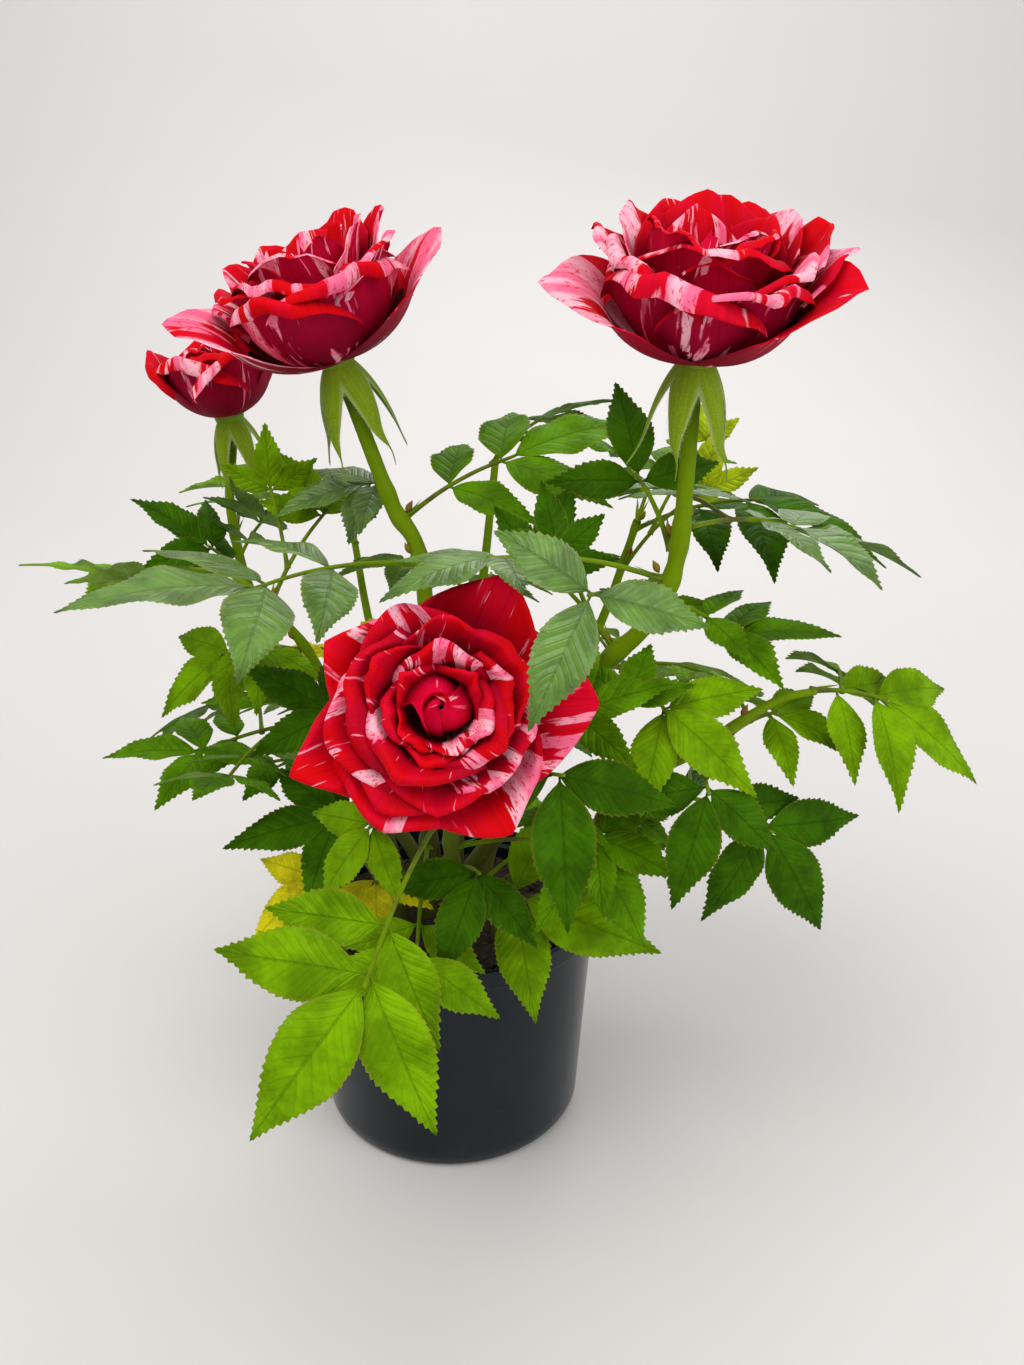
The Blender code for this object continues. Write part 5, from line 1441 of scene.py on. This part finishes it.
def add_sepal(skin, hairs, rng, origin, outward, axis, size):
    """A sepal: from under the petals its midline turns down by SEPAL_DIP degrees and then by
    SEPAL_FALL more with the power SEPAL_BEND of the way along, and its tail swings out again by
    up to SEPAL_SWING. Half its width is b (1 - (s/0.84)^1.7) plus a thin tail, and it is hollow
    towards the cane. Short white hairs stand along its margins."""
    columns, rows = SEPAL_CELLS[0] + 1, SEPAL_CELLS[1] + 1
    share = np.linspace(0, 1, rows)
    tail = rng.uniform(0.1, 0.9) * SEPAL_SWING * swell(share, 0.62, 1.0)
    angle = -np.radians(SEPAL_DIP + SEPAL_FALL * share ** SEPAL_BEND - tail)
    steps = np.diff(share, prepend=0) * SEPAL_LENGTH * SEPAL_REACH * size
    out = RECEPTACLE_RADIUS * 0.55 + np.cumsum(np.cos(angle) * steps)
    down = np.cumsum(np.sin(angle) * steps)
    left = np.cross(axis, outward)
    swing = (rng.uniform(-0.003, 0.003) * share ** 2
             + rng.uniform(0.0006, 0.0016) * np.sin(9.0 * share) * swell(share, 0.5, 0.9))
    spine = (origin + outward * out[:, None] + axis * (down - 0.0004)[:, None]
             + left * swing[:, None])
    ups = unit(outward * np.sin(-angle)[:, None] + axis * np.cos(angle)[:, None])
    across = np.linspace(-1, 1, columns)[None]
    blade = np.clip(1 - (share / 0.84) ** 1.7, 0, 1) * (0.80 + 0.20 * swell(share, 0.0, 0.25))
    half = (SEPAL_HALF_WIDTH * size * blade + SEPAL_TAIL * (1 - share) + 0.0001)[:, None]
    hollow = -SEPAL_HOLLOW * half * across ** 2 * (1 - 0.4 * share[:, None])
    grid = (spine[:, None] - left * (across * half)[..., None] + ups[:, None] * hollow[..., None])
    skin.sheet(grid, SEPAL_SKIN, grid_map(across / 2 + 0.5, share[:, None]), number=rng.random())
    for column, sign in ((0, 1), (-1, -1)):
        edge = resampled(grid[:int(rows * 0.8), column], SEPAL_HAIRS)
        lean = rng.normal(0, 0.45, edge.shape)
        add_hairs(hairs, edge, unit(left * sign + axis * -0.25 + lean),
                  rng.uniform(0.35, 1.0, len(edge)) * HAIR_LENGTH)


def add_calyx(skin, hairs, bloom, rng):
    """The hip below a bloom, a tube whose radius follows the curve through HIP_PROFILE, and its
    sepals."""
    foot, heading, origin, (axis, right, ahead), stem_radius = bloom_frame(bloom)
    spine = smooth_path([foot - heading * HIP_SINK, foot + heading * HIP_LENGTH * 0.3,
                         foot + heading * HIP_LENGTH * 0.5, origin,
                         origin + axis * RECEPTACLE_TOP * 0.8], HIP_STEP)
    share = np.linspace(0, 1, len(spine))
    stations, widths = zip(*HIP_PROFILE)
    radii = np.interp(share, stations, widths) * RECEPTACLE_RADIUS
    radii = np.maximum(radii, stem_radius * (1.02 + share))
    skin.tube(spine, np.minimum(radii, RECEPTACLE_RADIUS), CANE_SIDES, slot=HIP)
    size = SMALL_CALYX if bloom.crown_radius < SMALL_CROWN else 1.0
    for index in range(SEPALS):
        turn = 2 * math.pi * (index + SEPAL_START) / SEPALS
        outward = right * math.cos(turn) + ahead * math.sin(turn)
        add_sepal(skin, hairs, rng, origin, outward, axis, size * rng.uniform(0.92, 1.04))


# ---- pot and soil
def pot_radius(height):
    """Outer radius of the pot's plain wall at a height."""
    spread = POT_RIM_RADIUS - POT_BAND_STEP - POT_BASE_RADIUS
    return POT_BASE_RADIUS + spread * height / POT_HEIGHT


def arc(centre, radius, start, end, steps):
    """Points (radius from the axis, height) on a quarter round between two angles in degrees."""
    turn = np.radians(np.linspace(start, end, steps))
    return list(zip(centre[0] + radius * np.cos(turn), centre[1] + radius * np.sin(turn)))


def wall(start, end, count, inset=0.0):
    """Points (radius, height) along the pot's plain wall from one height to another, inset from
    its outside."""
    heights = np.linspace(start, end, count)
    return list(zip(pot_radius(heights) - inset, heights))


def pot_profile():
    """The pot's section from the middle of its floor, up inside, over the rounded lip, down the
    band and the wall, and round the foot to the middle of its underside."""
    band_foot = POT_HEIGHT - POT_BAND_HEIGHT
    inside = pot_radius(POT_FLOOR) - POT_WALL
    lip = POT_WALL / 2
    foot = POT_FOOT_ROUNDING
    low, high = POT_FLOOR + 2 * POT_CORNER, POT_HEIGHT - POT_CORNER
    return ([(inside * share, POT_FLOOR) for share in np.linspace(0.04, 0.9, 12)]
            + arc((inside - POT_CORNER, POT_FLOOR + POT_CORNER), POT_CORNER, -80, 0, 5)
            + wall(low, band_foot, 16, POT_WALL)
            + [(POT_RIM_RADIUS - POT_WALL, band_foot + POT_BAND_SLOPE)]
            + arc((POT_RIM_RADIUS - lip, POT_HEIGHT - lip), lip, 180, 0, 9)
            + [(POT_RIM_RADIUS, h) for h in np.linspace(high, band_foot + POT_BAND_EASE, 5)]
            + arc((POT_RIM_RADIUS - POT_BAND_ROUND, band_foot + POT_BAND_ROUND), POT_BAND_ROUND,
                  0, -90, 4)
            + wall(band_foot - POT_BAND_EASE, foot, 24)
            + arc((POT_BASE_RADIUS - foot, foot), foot, -8, -90, 9)
            + [((POT_BASE_RADIUS - foot) * share, 0.0) for share in np.linspace(0.92, 0.04, 12)])


def revolve(skin, profile, sides, relief=None):
    """A surface of revolution about Z whose section runs down its outer side. Where relief is
    given, its value at a point's x, y and row moves the point along Z."""
    section = np.array(profile)
    turn = -around(sides)[None]
    x, y = section[:, :1] * np.cos(turn), section[:, :1] * np.sin(turn)
    rows = np.arange(len(section))[:, None]
    height = section[:, 1:] + (0 if relief is None else relief(x, y, rows))
    rings = np.stack(np.broadcast_arrays(x, y, height), -1)
    ends = [np.array([0, 0, rings[k, :, 2].mean()]) for k in (0, -1)]
    skin.round(rings, *ends)


def lumps(x, y, rng, low, high):
    """A seeded uneven field: a sum of cosines of random direction, length and phase over the
    square root of their number, with wavelengths between low and high."""
    heading = rng.uniform(0, 2 * math.pi, LUMP_WAVES)
    rate = 2 * math.pi / rng.uniform(low, high, LUMP_WAVES)
    phase = rng.uniform(0, 2 * math.pi, LUMP_WAVES)
    run = x[..., None] * np.cos(heading) + y[..., None] * np.sin(heading)
    return np.cos(run * rate + phase).mean(axis=-1) * math.sqrt(LUMP_WAVES)


def mix_radius(height):
    """Radius of the mix where it meets the pot's wall at a height, less its clearance."""
    return pot_radius(height) - POT_WALL - SOIL_CLEARANCE


def soil_height(radius):
    """Height of the mix at a radius: flat in the middle, then falling to its edge."""
    fall = (radius - SOIL_FLAT_RADIUS) / (mix_radius(SOIL_TOP) - SOIL_FLAT_RADIUS)
    return SOIL_TOP - SOIL_EDGE_DROP * np.clip(fall, 0, 1)


def add_soil(skin, rng):
    """The potting mix: a surface of revolution whose top is lifted by layers of lumps, which fade
    before it meets the pot."""
    def relief(x, y, rows):
        layers = [height * lumps(x, y, rng, low, high) for height, low, high in SOIL_LUMPS]
        return sum(layers) * (1 - swell(rows / SOIL_RINGS, 0.93, 1.0))

    rim, floor = SOIL_TOP - SOIL_EDGE_DROP, POT_FLOOR + GAP
    radii = np.linspace(SOIL_MIDDLE, mix_radius(rim), SOIL_RINGS)
    heights = np.linspace(rim - 0.006, floor + POT_CORNER, 10)
    bottom = [(share * (mix_radius(floor) - POT_CORNER), floor) for share in (1.0, 0.5, 0.04)]
    profile = [*zip(radii, soil_height(radii)), *zip(mix_radius(heights), heights), *bottom]
    revolve(skin, profile, SOIL_SIDES, relief)


def add_crumbs(skin, rng, count):
    """Crumbs and fibres on the mix: small closed lumps, round but for a cosine of twice the turn,
    each stretched and spun by draws of its own."""
    edge = pot_radius(SOIL_TOP) - POT_WALL - POT_CORNER
    share = np.linspace(0.14, 0.86, 4)[:, None]
    turn = around(6)[None]
    for _ in range(count):
        radius = edge * math.sqrt(rng.random())
        angle = rng.uniform(0, 2 * math.pi)
        size = rng.uniform(*CRUMB_SIZE)
        stretch = rng.uniform(0.6, 1.3, 3) * (rng.choice((1.0, 1.0, FIBRE_STRETCH)), 1.0, 0.8)
        bumps = 1 + 0.25 * np.cos(2 * turn + rng.uniform(0, 6)) * np.sin(math.pi * share)
        ring = np.sin(math.pi * share) * bumps
        local = np.stack([ring * np.cos(turn), ring * np.sin(turn),
                          -np.cos(math.pi * share) + 0 * turn], -1) * size * stretch
        spin = np.array(Matrix.Rotation(rng.uniform(0, 2 * math.pi), 3, "Z")
                        @ Matrix.Rotation(rng.uniform(-0.5, 0.5), 3, "X"))
        centre = np.array([radius * math.cos(angle), radius * math.sin(angle),
                           float(soil_height(radius)) + size * 0.25])
        tips = (np.array([[0, 0, -1.0], [0, 0, 1.0]]) * size * stretch) @ spin.T + centre
        skin.round(local @ spin.T + centre, *tips, number=rng.random())


# ---- settings
def colour(name, description, default):
    """A colour that a user may pick."""
    return FloatVectorProperty(name=name, description=description, default=default, size=3,
                               subtype="COLOR", min=0.0, max=1.0)


class BloomSettings(PropertyGroup):
    red: colour("Petal red", "The velvet red of the petals' faces", (0.66, 0.0006, 0.003))
    # Deep red colours the petals' veins and paints shade at their feet and in the hollow round the
    # heart.
    deep_red: colour("Deep red", "The crimson of the petals' feet and veins", (0.20, 0.0008, 0.018))
    reverse_red: colour("Reverse red", "The duller crimson of the petals' backs",
                        (0.44, 0.002, 0.034))
    heart_red: colour("Heart red", "The crimson of the furled petals", (0.70, 0.002, 0.042))
    blush: colour("Blush", "The pink of the petals' stripes", (0.93, 0.15, 0.29))
    pale_blush: colour("Pale blush", "The palest pink in the stripes", (0.97, 0.46, 0.56))


class LeafSettings(PropertyGroup):
    dark: colour("Old leaf", "The deep green of old leaves", (0.036, 0.112, 0.0006))
    mid: colour("Leaf", "The green of most leaves", (0.088, 0.225, 0.0006))
    light: colour("Fresh leaf", "The bright green of leaves in the light", (0.148, 0.305, 0.001))
    yellow: colour("Fading leaf", "The yellow of fading leaves", (0.620, 0.570, 0.008))
    young: colour("Young leaf", "The lime of young leaves", (0.380, 0.500, 0.010))
    # Glossy leaves mirror light through their gloss; the grey in their base colour is painted sheen
    # besides.
    sheen: colour("Glossy leaf", "The grey green of leaves that mirror the light",
                  (0.098, 0.212, 0.020))


class StemSettings(PropertyGroup):
    green: colour("Green bark", "The skin of young canes and stalks", (0.138, 0.235, 0.001))
    ripe: colour("Ripe bark", "The duller, reddened skin of older growth", (0.095, 0.100, 0.022))
    ribs: FloatProperty(name="Rib depth", description="Depth of the fine ribs in the bark",
                        default=0.0003, min=0.0, max=0.002, subtype="DISTANCE", unit="LENGTH")


class PotSettings(PropertyGroup):
    plastic: colour("Pot plastic", "The charcoal of the pot", (0.0050, 0.0092, 0.0135))
    soil: colour("Potting mix", "The brown of the potting mix", (0.028, 0.017, 0.010))
    sides: IntProperty(name="Pot sides", description="Facets round the pot", default=144, min=36,
                       max=360)
    crumbs: IntProperty(name="Crumbs", description="Crumbs and fibres that lie on the mix",
                        default=420, min=0, max=2000)


class StageSettings(PropertyGroup):
    backdrop: colour("Backdrop", "The pale floor and wall", (0.665, 0.645, 0.637))
    focal: FloatProperty(name="Focal length", description="Millimetres from lens to sensor",
                         default=31.65, min=10.0, max=200.0, subtype="DISTANCE_CAMERA",
                         unit="CAMERA")
    tilt: FloatProperty(name="Camera tilt", description="How far down the camera looks",
                        default=math.radians(20.1), subtype="ANGLE", unit="ROTATION")


# ---- operators
class ROSE_OT_pot(Operator):
    """Make the nursery pot, with its lip, band, rounded foot and drain holes"""
    bl_idname = "rose.pot"
    bl_label = "Pot"

    def execute(self, context):
        settings = context.scene.rose_pot
        skin = Skin()
        revolve(skin, pot_profile(), settings.sides)
        plastic = plastic_material(tuple(settings.plastic))
        pot = skin.piece("pot_wall", "pot", [plastic], ["pot"])
        cutters = Skin()
        for turn in around(DRAIN_HOLES):
            x, y = DRAIN_CIRCLE_RADIUS * math.cos(turn), DRAIN_CIRCLE_RADIUS * math.sin(turn)
            spine = np.array([[x, y, z] for z in np.linspace(-2, 2, 5) * POT_FLOOR])
            cutters.tube(spine, DRAIN_HOLE_RADIUS, DRAIN_HOLE_SIDES)
        tool = cutters.plain_object("drain_cutter")
        cut = pot.modifiers.new("Drain holes", "BOOLEAN")
        cut.object = tool
        cut.solver = "EXACT"
        depsgraph = context.evaluated_depsgraph_get()
        bored = bpy.data.meshes.new_from_object(pot.evaluated_get(depsgraph))
        pot.modifiers.clear()
        pot.data = bored
        bored.set_sharp_from_angle(angle=math.radians(SHARP_ANGLE))
        bpy.data.objects.remove(tool)
        return {"FINISHED"}


class ROSE_OT_soil(Operator):
    """Fill the pot with potting mix and strew crumbs over it"""
    bl_idname = "rose.soil"
    bl_label = "Potting mix"

    def execute(self, context):
        settings = context.scene.rose_pot
        base = tuple(settings.soil)
        fill, crumbs = Skin(), Skin()
        add_soil(fill, np.random.default_rng(SOIL_SEED))
        fill.piece("soil_fill", "soil", [mix_material(base)], ["soil"])
        add_crumbs(crumbs, np.random.default_rng(CRUMB_SEED), settings.crumbs)
        crumbs.piece("soil_crumbs", "soil", [crumb_material(base)])
        return {"FINISHED"}


class ROSE_OT_canes(Operator):
    """Make the bark of every cane, swollen at its leaves, with the buds in their angles"""
    bl_idname = "rose.canes"
    bl_label = "Canes"

    def execute(self, context):
        settings = context.scene.rose_stem
        green = tuple(settings.green)
        bark = bark_material(green, tuple(settings.ripe), settings.ribs)
        buds = Skin()
        for number, cane in enumerate(CANES):
            skin = Skin()
            add_cane(skin, cane, np.random.default_rng(CANE_SEED + number))
            skin.piece(cane.name + "_bark", "cane", [bark], [cane.name])
            path, radii = cane_path(cane)
            for spray in SPRAYS:
                if spray.cane == cane.name and spray.height < 1:
                    outward = direction(spray.azimuth, 0)
                    centre = between(spray.height, path[:, 2], path)
                    centre = centre + outward * radii[0] * BUD_SEAT + UPWARD * BUD_RISE
                    add_bud(buds, centre, outward)
        scales = stalk_material("bud_scales", blend(green, BUD_FLUSH, 0.35), BUD_TIP)
        buds.piece("cane_buds", "cane", [scales])
        return {"FINISHED"}


class ROSE_OT_leaves(Operator):
    """Grow the compound leaves: stalks, stipules and toothed leaflets, by the frame's rule"""
    bl_idname = "rose.leaves"
    bl_label = "Leaves"

    def execute(self, context):
        tints = context.scene.rose_leaf
        stem = context.scene.rose_stem
        skins = {tint: Skin() for tint in tints.__annotations__}
        grown = {tint: [] for tint in skins}
        stalk_skin, fringe = Skin(), Skin()
        trees = {name: tree_of(name) for name in ("pot", "soil")}
        trees.update((part.name, tree_of(part.name)) for part in CANES + BLOOMS)
        for number, spray in enumerate(SPRAYS):
            rng = np.random.default_rng(SPRAY_SEED + number)
            stalks, leaflets = grow_spray(spray, trees)
            trees[spray.name] = tree_of(spray.name)
            grown[spray.tint].append(spray.name)
            curve = add_stalk(stalk_skin, stalks[0], STALK_SINK, STALK_RADIUS, rng.random())
            add_stipules(fringe, curve, rng)
            for path in stalks[1:]:
                add_stalk(stalk_skin, path, FORK_SINK, FORK_RADIUS, rng.random())
            for leaflet in leaflets:
                add_leaflet(skins[spray.tint], rng, *leaflet)
        for tint, skin in skins.items():
            base = tuple(getattr(tints, tint))
            edge = blend(base, LEAF_EDGE, 0.35)
            pale = blend(shade(base, 1.25), LEAF_BACK, 0.5)
            # Glossy leaves get real gloss here, and their tint's grey adds painted sheen.
            gloss = SHEEN_GLOSS if tint == "sheen" else FACE_GLOSS
            face = leaf_material(f"leaf_{tint}", base, False, edge, gloss)
            back = leaf_material(f"leaf_{tint}_back", pale, True, edge, BACK_GLOSS)
            slot = "leaf_yellow" if tint in ("yellow", "young") else "leaf"
            skin.piece(f"leaves_{tint}", slot, [face, back], grown[tint])
        green, ripe = tuple(stem.green), tuple(stem.ripe)
        stalk_skin.piece("leaf_stalks", "cane", [stalk_material("stalk_skin", green, ripe)])
        fringe.piece("stipules", "leaf", [stalk_material("stipule_skin", shade(green, 1.2), green)])
        return {"FINISHED"}


class ROSE_OT_blooms(Operator):
    """Make each bloom: striped velvet petals, its hip, and sepals edged with white hairs"""
    bl_idname = "rose.blooms"
    bl_label = "Blooms"

    def execute(self, context):
        settings = context.scene.rose_bloom
        face = petal_material("petal_face", settings)
        back = petal_material("petal_back", settings, reverse=True)
        heart = petal_material("petal_heart", settings, red=tuple(settings.heart_red))
        # Painted shade: petals close round the heart stay deep red out to nearly their ends, for the
        # shade of the hollow they stand in.
        inner = petal_material("petal_inner", settings, dark=(0.46, 0.97))
        green = tuple(context.scene.rose_stem.green)
        sepal = sepal_material("sepal_face", blend(green, SEPAL_LIME, 0.5))
        under = sepal_material("sepal_back", shade(green, 1.4))
        hip = stalk_material("hip_skin", blend(green, HIP_GREEN, 0.4), green)
        hairs = Skin()
        for bloom, seed in zip(BLOOMS, BLOOM_SEEDS):
            rng = np.random.default_rng(seed)
            petals, calyx = Skin(), Skin()
            add_bloom_petals(petals, bloom, rng)
            petals.piece(bloom.name + "_petals", "petal", [face, back, heart, inner], [bloom.name])
            add_calyx(calyx, hairs, bloom, rng)
            calyx.piece(bloom.name + "_calyx", "leaf", [sepal, under, hip], [bloom.name])
        hair = cloudy_material("sepal_hair", 0.6, (500.0,), HAIR_DARK, HAIR_LIGHT)
        hairs.piece("sepal_hairs", "leaf", [hair])
        return {"FINISHED"}


class ROSE_OT_stage(Operator):
    """Set the pale floor and wall, the soft lights and the camera"""
    bl_idname = "rose.stage"
    bl_label = "Stage"

    def execute(self, context):
        scene, settings = context.scene, context.scene.rose_stage
        bend = [(BACKDROP_BEND + math.sin(a) * BACKDROP_CURVE, BACKDROP_CURVE * (1 - math.cos(a)))
                for a in np.linspace(0.1, math.pi / 2, 12)]
        profile = [(BACKDROP_FRONT, 0.0), (BACKDROP_BEND, 0.0), *bend,
                   (BACKDROP_BEND + BACKDROP_CURVE, BACKDROP_REACH)]
        points = [(x, y, z) for y, z in profile for x in (-BACKDROP_REACH, BACKDROP_REACH)]
        mesh = bpy.data.meshes.new("backdrop")
        mesh.from_pydata(points, [], grid_quads(len(profile), 2).tolist())
        base = tuple(settings.backdrop)
        mesh.materials.append(cloudy_material("backdrop_paper", 0.9, (3.0, 3.0, 0.6),
                                              shade(base, 0.985), shade(base, 1.015)))
        mesh.shade_smooth()
        backdrop = linked("backdrop", mesh)
        for name, place, target, size, power, tint in STUDIO_LIGHTS:
            lamp = bpy.data.lights.new(name, "AREA")
            lamp.shape = "DISK"
            lamp.size = size
            lamp.energy = power
            lamp.color = tint
            forward, left, up = axes(unit(np.subtract(target, place)), UPWARD)
            turn = np.eye(4)
            turn[:3] = np.stack([-left, up, -forward, place], axis=1)
            linked(name, lamp).matrix_world = Matrix(turn.tolist())
        world = bpy.data.worlds.new("studio_air")
        world.use_nodes = True
        air = world.node_tree.nodes["Background"]
        air.inputs["Color"].default_value = AIR
        air.inputs["Strength"].default_value = AIR_STRENGTH
        scene.world = world
        scene.view_settings.view_transform = "Standard"
        view = bpy.data.cameras.new("view")
        view.lens = settings.focal
        view.sensor_width = SENSOR_WIDTH
        view.clip_start = 0.01
        camera = linked("view", view)
        camera.location = CAMERA_PLACE
        camera.rotation_euler = (math.pi / 2 - settings.tilt, 0, 0)
        scene.camera = camera
        return {"FINISHED"}


class ROSE_PT_panel(Panel):
    """Sizes and colours of the potted rose, and a button for each of its pieces"""
    bl_label = "Potted rose bush"
    bl_idname = "ROSE_PT_panel"
    bl_space_type = "VIEW_3D"
    bl_region_type = "UI"
    bl_category = "Rose bush"

    def draw(self, context):
        for attribute, _, operators in SECTIONS:
            box = self.layout.box()
            for operator in operators:
                box.operator(operator.bl_idname)
            settings = getattr(context.scene, attribute)
            for name in settings.__annotations__:
                box.prop(settings, name)


# the scene's attribute, the settings that it holds, and the operators that read them
SECTIONS = (("rose_pot", PotSettings, (ROSE_OT_pot, ROSE_OT_soil)),
            ("rose_stem", StemSettings, (ROSE_OT_canes,)),
            ("rose_leaf", LeafSettings, (ROSE_OT_leaves,)),
            ("rose_bloom", BloomSettings, (ROSE_OT_blooms,)),
            ("rose_stage", StageSettings, (ROSE_OT_stage,)))


def register():
    for attribute, settings, operators in SECTIONS:
        bpy.utils.register_class(settings)
        setattr(bpy.types.Scene, attribute, PointerProperty(type=settings))
        for operator in operators:
            bpy.utils.register_class(operator)
    bpy.utils.register_class(ROSE_PT_panel)


def unregister():
    bpy.utils.unregister_class(ROSE_PT_panel)
    for attribute, settings, operators in reversed(SECTIONS):
        for operator in operators:
            bpy.utils.unregister_class(operator)
        delattr(bpy.types.Scene, attribute)
        bpy.utils.unregister_class(settings)


def main():
    register()
    bpy.ops.rose.pot()
    bpy.ops.rose.soil()
    bpy.ops.rose.canes()
    bpy.ops.rose.leaves()
    bpy.ops.rose.blooms()
    bpy.ops.rose.stage()


if __name__ == "__main__":
    main()
